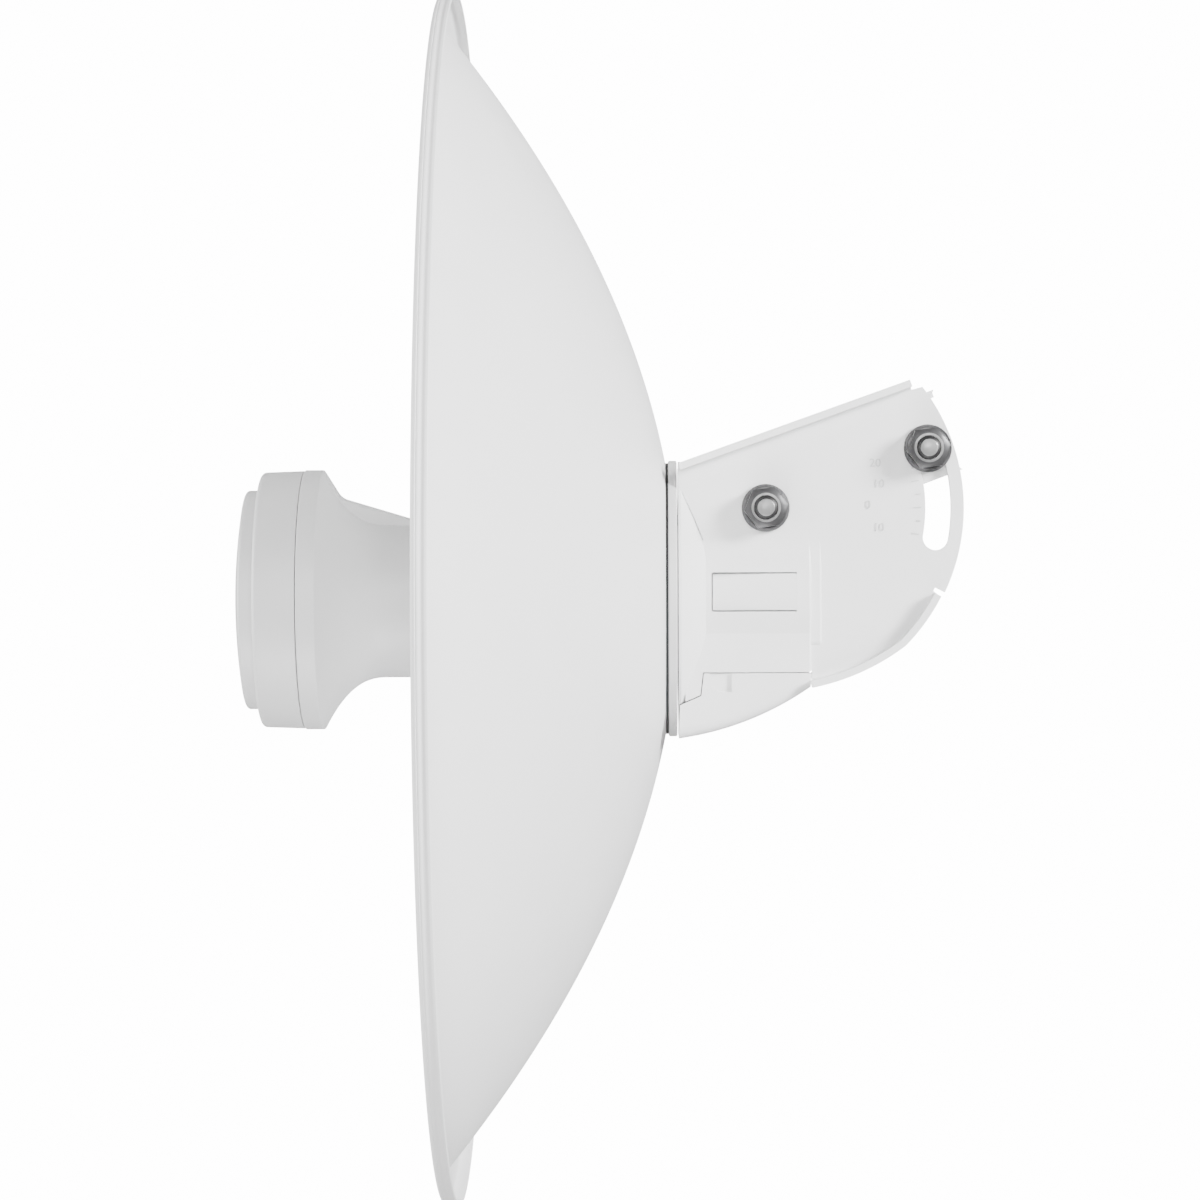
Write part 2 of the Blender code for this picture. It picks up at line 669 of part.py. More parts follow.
def flare_curve(inset):
    """Concave sweep from the drum's rear edge down to the neck, as (radius, y)."""
    steps = 6
    points = []
    for i in range(steps + 1):
        share = i / steps
        y = DRUM_REAR_Y + (FLARE_END_Y - DRUM_REAR_Y) * share
        radius = NECK_RADIUS + (DRUM_REAR_RADIUS - NECK_RADIUS) * (1 - share) ** FLARE_SWEEP
        points.append((radius - inset, y - inset * (1 - share)))
    return points


def feed_rear_shell():
    """Rear half of the drum, the flared neck that runs through the hub, and the plug behind it."""
    outer = [
        (0, DRUM_SEAM_Y), (DRUM_REAR_RADIUS, DRUM_SEAM_Y), *flare_curve(0),
        (NECK_RADIUS, NECK_REAR_Y), (0, NECK_REAR_Y),
    ]
    shell = turned("feed_rear_shell", outer, FEED_SEGMENTS, closed=False)
    ridge_outline = [
        (DRUM_REAR_Y - 4 * MM, 20 * MM), (DRUM_REAR_Y - 4 * MM, 43 * MM), (DRUM_REAR_Y + 0.2 * MM, 44.6 * MM),
        RIDGE_KNEE, (RIDGE_END_Y, NECK_RADIUS - 0.3 * MM), (RIDGE_END_Y, 20 * MM),
    ]
    ridge = prism("ridge", ridge_outline, -RIDGE_HALF_WIDTH, RIDGE_HALF_WIDTH)
    plug = box("plug", (-PLUG_HALF_WIDTH, NECK_REAR_Y - 2 * MM, PLUG_BOTTOM_Z),
               (PLUG_HALF_WIDTH, PLUG_REAR_Y, PLUG_TOP_Z))
    join(shell, ridge, plug)
    inner = [
        (0, DRUM_SEAM_Y - 5 * MM), (DRUM_REAR_RADIUS - FEED_WALL, DRUM_SEAM_Y - 5 * MM),
        *flare_curve(FEED_WALL), (NECK_RADIUS - FEED_WALL, NECK_REAR_Y - 4 * MM), (0, NECK_REAR_Y - 4 * MM),
    ]
    hollow = turned("hollow", inner, FEED_SEGMENTS, closed=False)
    plug_hollow = box("plug_hollow",
                      (FEED_WALL - PLUG_HALF_WIDTH, NECK_REAR_Y - 8 * MM, PLUG_BOTTOM_Z + FEED_WALL),
                      (PLUG_HALF_WIDTH - FEED_WALL, PLUG_REAR_Y - FEED_WALL, PLUG_TOP_Z - FEED_WALL))
    jack_window = box("jack_window",
                      (-JACK_WIDTH / 2 - GAP, JACK_Y - JACK_LENGTH / 2 - GAP, -25 * MM),
                      (JACK_WIDTH / 2 + GAP, JACK_Y + JACK_LENGTH / 2 + GAP, -12 * MM))
    button_hole = cylinder("button_hole", BUTTON_RADIUS + GAP, -25 * MM, -12 * MM, (0, BUTTON_Y), "Z", 16)
    return subtract(shell, hollow, plug_hollow, jack_window, button_hole)


def feed_seal():
    """Ring inside the drum's seam."""
    outer = DRUM_REAR_RADIUS - FEED_WALL - GAP - 0.3 * MM
    y = DRUM_SEAM_Y
    outline = [(outer - 1.8 * MM, y + 1.4 * MM), (outer, y + 1.4 * MM), (outer, y - 1.4 * MM),
               (outer - 1.8 * MM, y - 1.4 * MM)]
    return turned("feed_seal", outline, 40)


def disc(name, radius, front_y, thickness, segments=40):
    outline = [(0, front_y), (radius, front_y), (radius, front_y + thickness), (0, front_y + thickness)]
    return turned(name, outline, segments, closed=False)


def ethernet_jack():
    bottom = PLUG_BOTTOM_Z + GAP
    body = box("ethernet_jack", (-JACK_WIDTH / 2, JACK_Y - JACK_LENGTH / 2, bottom),
               (JACK_WIDTH / 2, JACK_Y + JACK_LENGTH / 2, NECK_BOARD_Z - GAP))
    socket = box("socket", (-5.9 * MM, JACK_Y - 4.1 * MM, bottom - 2 * MM),
                 (5.9 * MM, JACK_Y + 4.1 * MM, bottom + 13 * MM))
    latch = box("latch", (-3 * MM, JACK_Y + 3.9 * MM, bottom - 2 * MM),
                (3 * MM, JACK_Y + 5.4 * MM, bottom + 11 * MM))
    join(socket, latch)
    return subtract(body, socket)


def reset_button():
    """Push button: a pin through the plug's floor with a collar inside it."""
    floor = PLUG_BOTTOM_Z + FEED_WALL
    pin = cylinder("reset_button", BUTTON_RADIUS, PLUG_BOTTOM_Z - 0.8 * MM, floor + 2 * MM,
                   (0, BUTTON_Y), "Z", 20)
    collar = cylinder("collar", BUTTON_RADIUS + 1 * MM, floor + GAP, floor + 1.5 * MM, (0, BUTTON_Y), "Z", 20)
    return join(pin, collar)


# ---------------------------------------------------------------- pole bracket and fasteners

def bracket_wall_outline():
    eye = arc((0, 0), BRACKET_EYE_RADIUS, math.radians(80), math.radians(275), 10)
    rear = JAW_FROM_PIVOT - 1.2 * MM
    return [
        *eye,
        (24 * MM, -9.6 * MM),
        (36 * MM, JAW_BOTTOM),
        (JAW_FROM_PIVOT + 0.6 * MM, JAW_BOTTOM),
        (rear, JAW_BOTTOM + 2.4 * MM),
        (rear, JAW_TOP - 2.4 * MM),
        (JAW_FROM_PIVOT + 0.6 * MM, JAW_TOP),
        (34 * MM, JAW_TOP),
    ]


def jaw_outline():
    """Top view of one jaw plate: a wide V, cut into teeth, that takes the pole."""
    half = BRACKET_INNER_X + 1 * MM
    teeth = 5
    front = WEB_FROM_PIVOT + 1 * MM
    points = [(-half, front), (-half, JAW_FROM_PIVOT)]
    for side in (-1, 1):
        flank = []
        for i in range(teeth):
            outer = half - 2 * MM - (half - 5 * MM) * i / teeth
            inner = half - 2 * MM - (half - 5 * MM) * (i + 1) / teeth
            tooth_y = JAW_FROM_PIVOT - JAW_NOTCH_DEPTH * (i + 1) / teeth
            flank += [(side * outer, tooth_y), (side * (inner + 0.4 * MM), tooth_y)]
        points += [(side * (half - 2 * MM), JAW_FROM_PIVOT)] + flank if side < 0 else \
            flank[::-1] + [(side * (half - 2 * MM), JAW_FROM_PIVOT)]
    return points + [(half, JAW_FROM_PIVOT), (half, front)]


def pole_bracket():
    """Folded channel: two walls with bolt holes, a slotted web and two toothed jaw plates."""
    outline = bracket_wall_outline()
    walls = [prism("pole_bracket", outline, BRACKET_INNER_X, BRACKET_OUTER_X),
             prism("wall", outline, -BRACKET_OUTER_X, -BRACKET_INNER_X)]
    web = box("web", (-BRACKET_INNER_X - 1 * MM, WEB_FROM_PIVOT, JAW_BOTTOM + 0.6 * MM),
              (BRACKET_INNER_X + 1 * MM, WEB_FROM_PIVOT + BRACKET_SHEET, JAW_TOP - 0.6 * MM))
    jaws = [
        prism("jaw", jaw_outline(), z, z + BRACKET_SHEET, "Z")
        for z in (JAW_BOTTOM, JAW_TOP - BRACKET_SHEET)
    ]
    bracket = join(walls[0], web, *jaws, walls[1])
    for middle in (-BAND_SLOT_X, BAND_SLOT_X):
        low = (middle - 2 * MM, WEB_FROM_PIVOT - 2 * MM, JAW_MIDDLE - BAND_SLOT_HALF_HEIGHT)
        high = (middle + 2 * MM, WEB_FROM_PIVOT + 6 * MM, JAW_MIDDLE + BAND_SLOT_HALF_HEIGHT)
        subtract(bracket, box("band_slot", low, high))
    for low_x, distance in ((-40 * MM, 0), (0, SLOT_RADIUS)):
        hole = box("hole", (low_x, distance - SQUARE_HOLE / 2, -SQUARE_HOLE / 2),
                   (40 * MM, distance + SQUARE_HOLE / 2, SQUARE_HOLE / 2))
        subtract(bracket, hole)
    return bracket


def carriage_bolt(name):
    """Bolt along +X about its own axis, with its head against the inside of the bracket's wall."""
    under_head = BRACKET_INNER_X - GAP
    dome = [
        (0, under_head - BOLT_HEAD_HEIGHT), (BOLT_HEAD_RADIUS * 0.6, under_head - BOLT_HEAD_HEIGHT * 0.85),
        (BOLT_HEAD_RADIUS, under_head - BOLT_HEAD_HEIGHT * 0.3), (BOLT_HEAD_RADIUS, under_head),
    ]
    shank = [(BOLT_RADIUS, under_head), (BOLT_RADIUS, BOLT_END_X - 0.8 * MM),
             (BOLT_RADIUS - 0.8 * MM, BOLT_END_X), (0, BOLT_END_X)]
    bolt = turned(name, list(reversed(dome + shank)), 24, closed=False)
    bolt.data.transform(Matrix.Rotation(math.radians(-90), 4, "Z"))
    neck = box("neck", (under_head - 0.5 * MM, -BOLT_NECK / 2, -BOLT_NECK / 2),
               (BRACKET_OUTER_X - 0.2 * MM, BOLT_NECK / 2, BOLT_NECK / 2))
    return join(bolt, neck)


def flange_nut(name):
    """Nut about its own axis along +X, seated just clear of the arm."""
    seat = ARM_OUTER_X + GAP
    corner = NUT_ACROSS_FLATS / math.sqrt(3)
    hexagon = [(corner * math.cos(math.tau * i / 6), corner * math.sin(math.tau * i / 6)) for i in range(6)]
    nut = prism(name, hexagon, seat + 0.5 * MM, seat + NUT_HEIGHT)
    flange = turned("flange", [
        (0, seat), (NUT_FLANGE_RADIUS, seat), (NUT_FLANGE_RADIUS, seat + NUT_FLANGE_HEIGHT * 0.5),
        (NUT_ACROSS_FLATS / 2, seat + NUT_FLANGE_HEIGHT * 1.6), (0, seat + NUT_FLANGE_HEIGHT * 1.6),
    ], 32, closed=False)
    flange.data.transform(Matrix.Rotation(math.radians(-90), 4, "Z"))
    bore = cylinder("bore", NUT_BORE_RADIUS, seat - 1 * MM, seat + NUT_HEIGHT + 1 * MM, axis="X", segments=24)
    join(nut, flange)
    return subtract(nut, bore)


# ---------------------------------------------------------------- assembly

def build_bracket(pole_frame, white_metal, zinc):
    at_pivot = Vector((0, -JAW_FROM_PIVOT, -JAW_MIDDLE))
    at_lock = at_pivot + Vector((0, SLOT_RADIUS, 0))
    place(pole_bracket(), white_metal, pole_frame, at_pivot)
    for name, at, turn in (("pivot", at_pivot, 0), ("pivot", at_pivot, math.pi), ("lock", at_lock, 0)):
        side = "left" if turn else "right"
        bolt = place(carriage_bolt(f"{name}_bolt_{side}"), zinc, pole_frame, at)
        nut = place(flange_nut(f"{name}_nut_{side}"), zinc, pole_frame, at)
        bolt.rotation_euler = (0, 0, turn)
        nut.rotation_euler = (0, 0, turn)


def build_head(head, white_metal, white_plastic, black_rubber, zinc):
    place(dish_reflector(), white_metal, head, -PIVOT)
    place(drill_for_hub_screws(hub_gasket(), -6 * MM, 1 * MM), black_rubber, head, -PIVOT)
    place(drill_for_hub_screws(ring_plate(), -6 * MM, 1 * MM), white_plastic, head, -PIVOT)
    for i, (x, z) in enumerate(hub_screw_places()):
        seat = Vector((x, HUB_FACE_Y - DISH_SHEET - GAP, z))
        place(hub_screw(f"hub_screw_{i + 1}"), zinc, head, seat - PIVOT)
    place(rear_housing(), white_plastic, head, -PIVOT)
    lock_arm = yoke_arm("yoke_arm_right", lock_arm_rear(), lock_arm_lower_edge())
    place(subtract(lock_arm, arc_slot()), white_metal, head, -PIVOT)
    short_arm = yoke_arm("short_arm", short_arm_rear(), short_arm_lower_edge())
    place(mirrored_copy(short_arm, "yoke_arm_left"), white_metal, head, -PIVOT)
    bpy.data.objects.remove(short_arm, do_unlink=True)
    hinge = Vector((32.4 * MM, TAB_HINGE_Y, 0))
    right_tab = place(release_tab("release_tab_right"), white_plastic, head, hinge - PIVOT)
    left_tab = mirrored_copy(right_tab, "release_tab_left")
    place(left_tab, white_plastic, head, Vector((-hinge.x, hinge.y, 0)) - PIVOT)
    place(port_cover(), white_plastic, head, -PIVOT)
    hole = belly_point(GROMMET_Y)[0]
    grommet = place(cable_grommet(), black_rubber, head, Vector((0, hole.x, hole.y)) - PIVOT)
    grommet.rotation_euler = (outward_tilt(), 0, 0)


def build_feed(head, white_plastic, black_rubber, aluminium, board_green, copper, black_plastic):
    place(feed_front_cap(), white_plastic, head, -PIVOT)
    place(feed_front_shell(), white_plastic, head, -PIVOT)
    place(feed_rear_shell(), white_plastic, head, -PIVOT)
    place(feed_seal(), black_rubber, head, -PIVOT)
    place(disc("backing_reflector", BACKING_RADIUS, BACKING_Y, 1 * MM), aluminium, head, -PIVOT)
    board = disc("antenna_board", ANTENNA_BOARD_RADIUS, ANTENNA_BOARD_Y, BOARD_THICKNESS)
    place(board, board_green, head, -PIVOT)
    post_y = ANTENNA_BOARD_Y + BOARD_THICKNESS + GAP
    place(disc("patch_post", PATCH_POST_RADIUS, post_y, PATCH_POST_HEIGHT, 12), white_plastic, head, -PIVOT)
    patch = disc("patch_radiator", PATCH_RADIUS, post_y + PATCH_POST_HEIGHT + GAP, 0.8 * MM)
    place(patch, copper, head, -PIVOT)
    neck_board_rear_y = PLUG_REAR_Y - FEED_WALL - 1 * MM
    neck_board = box("neck_board", (-NECK_BOARD_HALF_WIDTH, NECK_BOARD_FRONT_Y, NECK_BOARD_Z),
                     (NECK_BOARD_HALF_WIDTH, neck_board_rear_y, NECK_BOARD_Z + BOARD_THICKNESS))
    place(neck_board, board_green, head, -PIVOT)
    shield_z = NECK_BOARD_Z + BOARD_THICKNESS + GAP
    shield = box("radio_shield", (-SHIELD_HALF_WIDTH, SHIELD_Y[0], shield_z),
                 (SHIELD_HALF_WIDTH, SHIELD_Y[1], shield_z + SHIELD_HEIGHT))
    place(shield, aluminium, head, -PIVOT)
    place(ethernet_jack(), black_plastic, head, -PIVOT)
    place(reset_button(), black_plastic, head, -PIVOT)


def build():
    clear_scene()
    white_metal = material("white_powder_coat", (0.80, 0.80, 0.79), 0.45)
    white_plastic = material("white_plastic", (0.82, 0.82, 0.81), 0.4)
    zinc = material("zinc_plated_steel", (0.42, 0.42, 0.42), 0.35, 1.0)
    black_rubber = material("black_rubber", (0.03, 0.03, 0.03), 0.8)
    aluminium = material("aluminium", (0.75, 0.76, 0.77), 0.3, 1.0)
    board_green = material("circuit_board", (0.03, 0.18, 0.07), 0.4)
    copper = material("copper", (0.75, 0.4, 0.25), 0.3, 1.0)
    black_plastic = material("black_plastic", (0.03, 0.03, 0.035), 0.5)
    pole_frame = empty("pole_frame", (0, 0, 0), tilt=TILT_AT_REST)
    pivot_at = Matrix.Rotation(TILT_AT_REST, 4, "X") @ Vector((0, -JAW_FROM_PIVOT, -JAW_MIDDLE))
    head = empty("elevation_axis", pivot_at)
    build_bracket(pole_frame, white_metal, zinc)
    build_head(head, white_metal, white_plastic, black_rubber, zinc)
    build_feed(head, white_plastic, black_rubber, aluminium, board_green, copper, black_plastic)


build()
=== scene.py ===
"""Visual model of the outdoor wireless bridge: fine meshes, finishes, light and camera.

Shapes are drawn in the dish frame: origin at the vertex of the reflector's rear surface, -Y along the
beam, +Z up, +X to the side with the tilt scale. The pole bracket is drawn in its own frame at the pivot.
"""
import math

import bmesh
import bpy
from mathutils import Matrix, Vector
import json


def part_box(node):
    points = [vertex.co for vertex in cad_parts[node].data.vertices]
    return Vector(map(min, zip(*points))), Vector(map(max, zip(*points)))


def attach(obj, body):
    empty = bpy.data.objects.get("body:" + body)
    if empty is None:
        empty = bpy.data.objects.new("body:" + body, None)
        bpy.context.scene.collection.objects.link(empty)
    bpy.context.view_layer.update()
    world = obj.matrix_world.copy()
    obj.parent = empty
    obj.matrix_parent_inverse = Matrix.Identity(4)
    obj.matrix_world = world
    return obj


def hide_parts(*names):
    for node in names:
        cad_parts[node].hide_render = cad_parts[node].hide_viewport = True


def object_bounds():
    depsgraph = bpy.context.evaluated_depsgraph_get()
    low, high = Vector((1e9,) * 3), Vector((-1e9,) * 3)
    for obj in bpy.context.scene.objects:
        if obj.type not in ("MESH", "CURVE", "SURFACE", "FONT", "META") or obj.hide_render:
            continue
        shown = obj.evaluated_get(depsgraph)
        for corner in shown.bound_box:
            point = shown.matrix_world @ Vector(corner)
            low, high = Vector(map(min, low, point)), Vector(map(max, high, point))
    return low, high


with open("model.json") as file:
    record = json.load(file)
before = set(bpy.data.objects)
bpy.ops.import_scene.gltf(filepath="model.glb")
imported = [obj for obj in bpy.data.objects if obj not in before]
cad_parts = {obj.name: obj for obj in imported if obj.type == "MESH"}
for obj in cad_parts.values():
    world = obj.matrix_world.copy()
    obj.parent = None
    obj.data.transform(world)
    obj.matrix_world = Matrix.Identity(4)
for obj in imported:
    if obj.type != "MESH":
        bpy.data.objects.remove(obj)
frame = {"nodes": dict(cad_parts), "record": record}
cad_low, cad_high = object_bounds()

MM = 0.001
GAP = 0.3 * MM
WELD_DISTANCE = 0.002 * MM
SHARP_ANGLE = math.radians(32)
FINE_STEPS = 192

# Reflector, in the dish frame
RIM_FRONT_Y = -81.1 * MM
DISH_FOCAL_LENGTH = 121.7 * MM
DISH_SHEET = 1.2 * MM
RIM_DEPTH = 5.5 * MM
RIM_ROUNDING = 1.4 * MM
BEAD_PITCH = 2.4 * MM
BEAD_PEAK = 2.1 * MM
BEAD_HEIGHT = 0.30 * MM
HUB_FACE_Y = -4.3 * MM
HUB_BORE_RADIUS = 28.2 * MM
RING_RADIUS = 48.2 * MM
RING_FRONT_Y = -3.7 * MM
RING_REAR_Y = -0.65 * MM
GASKET_OUTER = 44.5 * MM
GASKET_REAR_Y = HUB_FACE_Y + 1.4 * MM
# The gasket's thin black lip reaches out under the ring's edge and fills the gap: partly the rubber part,
# partly painted shade
GASKET_LIP_RADIUS = RING_RADIUS - 0.8 * MM
HUB_SCREW_CIRCLE = 38 * MM
HUB_SCREW_COUNT = 4

# Pivot, slot and yoke arms
PIVOT_Y = 29.6 * MM
PIVOT_Z = 30.9 * MM
TILT_AT_REST = math.radians(20)
TILT_AT_STOP = math.radians(-10)
SLOT_RADIUS = 59 * MM
BOLT_RADIUS = 3.85 * MM
BOLT_HOLE_RADIUS = 4.35 * MM
ARM_OUTER_X = 30 * MM
ARM_SHEET = 2.5 * MM
ARM_INNER_X = ARM_OUTER_X - ARM_SHEET
ARM_FLANGE_X = 35 * MM
ARM_REAR_RADIUS = 67.8 * MM
SHORT_ARM_RADIUS = 48 * MM
SHORT_ARM_ANGLES = (50.3, -30)
SHORT_ARM_FOOT = (48 * MM, -29.5 * MM)
ARM_ROOT_Y = 43.5 * MM
ARM_ROOT_Z = 16.2 * MM
ARM_TOP_FRONT = (-0.3 * MM, 46.3 * MM)
ARM_TOP_REAR = (78.8 * MM, 74.4 * MM)
ARM_TOP_NOTCH = (79.6 * MM, 71.2 * MM)
ARM_REAR_ANGLES = (37.5, -25.4)
ARM_LOWER_NOTCH_RADIUS = 64 * MM
ARM_LOWER_NOTCH_ANGLES = (-25.3, -26.5)
ARM_FOOT = (45.3 * MM, -30.6 * MM)
ARM_FOOT_RADIUS = 67 * MM
ARM_FOOT_ANGLES = (-27, -45)
ARM_FOOT_CURVE = 78 * MM

# Tilt scale: degree numbers with their places as (y, z), and ticks between two radii from the pivot
SCALE_NUMBERS = (
    ("20", (67.1 * MM, 46.1 * MM)),
    ("10", (68.3 * MM, 39.0 * MM)),
    ("0", (64.6 * MM, 31.8 * MM)),
    ("10", (68.3 * MM, 24.1 * MM)),
)
SCALE_TEXT_SIZE = 4.0 * MM
SCALE_RELIEF = 0.25 * MM
SCALE_TICKS = range(-10, 21, 5)
TICK_OUTER_RADIUS = 53.2 * MM
LONG_TICK_RADIUS = 50.6 * MM
SHORT_TICK_RADIUS = 51.6 * MM
TICK_WIDTH = 0.28 * MM

# Rear housing
HOUSING_FRONT_Y = -0.3 * MM
FLARE_EDGE_Y = 0.6 * MM
FLARE_REAR_Y = 9.4 * MM
FLARE_FRONT_RADIUS = 47.8 * MM
FLARE_REAR_RADIUS = 33.5 * MM
BARREL_REAR_Y = 45 * MM
COLLAR_REAR_Y = 48.6 * MM
COLLAR_HALF_WIDTH = 31 * MM
COLLAR_TOP_Z = 15.5 * MM
COLLAR_BOTTOM_Z = -16 * MM
COLLAR_FADE_Z = 9 * MM
REAR_EDGE_ROUNDING = 0.9 * MM
BARREL_HALF_WIDTH = 31.8 * MM
BARREL_BULGE = 34 * MM
BARREL_TOP_Z = 17.3 * MM
SEAM_Z = -25.3 * MM
SEAM_STEP = [(8.0 * MM, SEAM_Z), (7.1 * MM, -33 * MM), (-0.2 * MM, -36.2 * MM)]
WALL = 2.2 * MM
CAVITY_FRONT_Y = 10.6 * MM
CAVITY_REAR_Y = 42.5 * MM
TAB_FRONT_Y = 11.4 * MM
TAB_HINGE_Y = 38.6 * MM
TAB_TOP_Z = 8.5 * MM
TAB_BOTTOM_Z = -4.1 * MM
TAB_CLEARANCE = 0.4 * MM
TAB_REAR_Y = TAB_HINGE_Y + 1.5 * MM
TAB_DIP = 2 * MM
SHOULDER_TOP_Z = 20 * MM
ARM_ROOT_X = ARM_OUTER_X - 1.4 * MM
LUG_FRONT_Y = 2 * MM
LUG_REAR_Y = 8 * MM
LUG_BOTTOM_Z = -37 * MM
PAST_ALL = 60 * MM

# Port cover
COVER_HALF_WIDTH = 31.8 * MM
COVER_REAR = (44.9 * MM, -30.4 * MM)
COVER_FRONT = (-0.3 * MM, -48 * MM)
COVER_ARC_RADIUS = 104 * MM
COVER_BELLY_STEPS = 40
COVER_WALL = 2 * MM
COVER_EDGE_ROUNDING = 5 * MM
LATCH_RECESS_Y = (10.4 * MM, 17.9 * MM)
LATCH_BOTTOM_Z = -32 * MM
LATCH_DEPTH = 1.1 * MM
GROMMET_Y = 30 * MM
GROMMET_HOLE_RADIUS = 6.8 * MM
CABLE_BORE_RADIUS = 2.9 * MM

# Feed
CAP_RADIUS = 38.3 * MM
CAP_APEX_Y = -154.3 * MM
CAP_EDGE_Y = -150.8 * MM
DRUM_FRONT_Y = -145.5 * MM
DRUM_SEAM_Y = -130.4 * MM
DRUM_REAR_Y = -124 * MM
DRUM_FRONT_RADIUS = 44.6 * MM
DRUM_REAR_RADIUS = 45.4 * MM
FEED_WALL = 2.2 * MM
FLARE_END_Y = -102 * MM
FLARE_SWEEP = 2.4
NECK_RADIUS = 27.3 * MM
NECK_REAR_Y = 8 * MM
RIDGE_HALF_WIDTH = 9 * MM
RIDGE_KNEE = (-118.3 * MM, 35.8 * MM)
RIDGE_END_Y = -89 * MM
PLUG_HALF_WIDTH = 20 * MM
PLUG_TOP_Z = 14.2 * MM
PLUG_BOTTOM_Z = -17.5 * MM
PLUG_REAR_Y = 41.5 * MM
JACK_WIDTH = 16 * MM
JACK_LENGTH = 13.5 * MM
JACK_Y = 31 * MM
BUTTON_Y = 16 * MM
BUTTON_RADIUS = 2.2 * MM

# Pole bracket and fasteners, in the bracket's frame: +Y from the pivot to the pole
JAW_FROM_PIVOT = 67.5 * MM
JAW_TOP = 18.3 * MM
JAW_BOTTOM = -10.8 * MM
JAW_MIDDLE = (JAW_TOP + JAW_BOTTOM) / 2
BRACKET_OUTER_X = 26.8 * MM
BRACKET_SHEET = 2.5 * MM
BRACKET_INNER_X = BRACKET_OUTER_X - BRACKET_SHEET
BRACKET_EYE_RADIUS = 9.3 * MM
WEB_FROM_PIVOT = 36 * MM
JAW_NOTCH_DEPTH = 14 * MM
BAND_SLOT_X = 18 * MM
BAND_SLOT_HALF_HEIGHT = 7.2 * MM
SQUARE_HOLE = 8.3 * MM
NUT_HEIGHT = 8 * MM
NUT_ACROSS_FLATS = 13 * MM
NUT_FLANGE_RADIUS = 8.2 * MM
NUT_SEAT_X = ARM_OUTER_X + GAP
NUT_TOP_X = NUT_SEAT_X + NUT_HEIGHT
NUT_TURN = math.radians(-12)
BOLT_END_X = 40 * MM
BOLT_END_RADIUS = 2.95 * MM
BOLT_HEAD_RADIUS = 7.4 * MM
BOLT_HEAD_HEIGHT = 3.4 * MM
BOLT_NECK = 7.6 * MM
THREAD_PITCH = 1.25 * MM
THREAD_DEPTH = 0.55 * MM
NUT_FACE_RADIUS = 5.0 * MM
NUT_CHAMFER = 1.9 * MM

# Surround, sky and lamps: name, direction from the object, distance in metres, size in metres, watts
SURROUND_DROP = 1.6
SURROUND_RADIUS = 4.2
SURROUND_GLOW = 14.0
SKY_STRENGTH = 0.46
LAMPS = [
    ("key_lamp", (0.46, 0.80, 0.36), 1.9, 0.6, 115.0),
    ("under_lamp", (0.50, -0.10, -0.82), 1.9, 1.2, 38.0),
    ("side_lamp", (0.95, 0.03, 0.24), 2.2, 1.0, 32.0),
    ("front_lamp", (0.05, -1.00, 0.20), 2.2, 1.5, 90.0),
]

dish_low, dish_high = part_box("dish_reflector")
DISH_RADIUS = (dish_high.x - dish_low.x) / 2
VERTEX = Vector((
    (dish_low.x + dish_high.x) / 2,
    dish_low.y - RIM_FRONT_Y,
    (dish_low.z + dish_high.z) / 2,
))
HEAD_PLACE = Matrix.Translation(VERTEX)
BRACKET_PLACE = (
    Matrix.Translation(VERTEX + Vector((0, PIVOT_Y, PIVOT_Z)))
    @ Matrix.Rotation(TILT_AT_REST, 4, "X")
)


# ---- outlines

def rectangle(low_a, low_b, high_a, high_b):
    return [(low_a, low_b), (high_a, low_b), (high_a, high_b), (low_a, high_b)]


def arc(centre, radius, start, end, steps):
    """Points on an arc; angles in degrees from the first axis towards the second."""
    return [
        (centre[0] + radius * math.cos(math.radians(start + (end - start) * i / steps)),
         centre[1] + radius * math.sin(math.radians(start + (end - start) * i / steps)))
        for i in range(steps + 1)
    ]


def arc_centre(start, end, radius):
    """Centre of the arc between two points that bulges to the right of the way there."""
    a, b = Vector(start), Vector(end)
    chord = b - a
    side = Vector((-chord.y, chord.x)).normalized()
    return (a + b) / 2 + side * math.sqrt(radius**2 - (chord.length / 2) ** 2)


def arc_through(start, end, radius, steps):
    """Points on the arc of the given radius between two points, bulging to the right of the way there."""
    centre = arc_centre(start, end, radius)
    first, last = [math.degrees(math.atan2(z - centre.y, y - centre.x)) for y, z in (start, end)]
    return arc(centre, radius, first, first + (last - first + 180) % 360 - 180, steps)


def filleted(points, radii, steps=6, closed=True):
    """The outline with its corners rounded; a radius of 0 keeps a corner as it is."""
    rounded = []
    count = len(points)
    for i, (point, radius) in enumerate(zip(points, radii)):
        at_end = not closed and i in (0, count - 1)
        if radius == 0 or at_end:
            rounded.append(tuple(point))
            continue
        corner = Vector(point)
        before = (Vector(points[i - 1]) - corner).normalized()
        after = (Vector(points[(i + 1) % count]) - corner).normalized()
        half = before.angle(after) / 2
        centre = corner + (before + after).normalized() * radius / math.sin(half)
        reach = radius / math.tan(half)
        first = corner + before * reach - centre
        last = corner + after * reach - centre
        start = math.degrees(math.atan2(first.y, first.x))
        turn = math.degrees(math.atan2(last.y, last.x)) - start
        rounded += arc(centre, radius, start, start + (turn + 180) % 360 - 180, steps)
    return rounded


# ---- meshes

def linked(name, data):
    """A new object in the scene."""
    made = bpy.data.objects.new(name, data)
    bpy.context.scene.collection.objects.link(made)
    return made


def shown_mesh(obj):
    """The object's mesh as it stands with its modifiers, or as made from its curve."""
    graph = bpy.context.evaluated_depsgraph_get()
    return bpy.data.meshes.new_from_object(obj.evaluated_get(graph))


def new_object(name, bm):
    bmesh.ops.remove_doubles(bm, verts=bm.verts, dist=WELD_DISTANCE)
    bmesh.ops.recalc_face_normals(bm, faces=bm.faces)
    mesh = bpy.data.meshes.new(name)
    bm.to_mesh(mesh)
    bm.free()
    return linked(name, mesh)


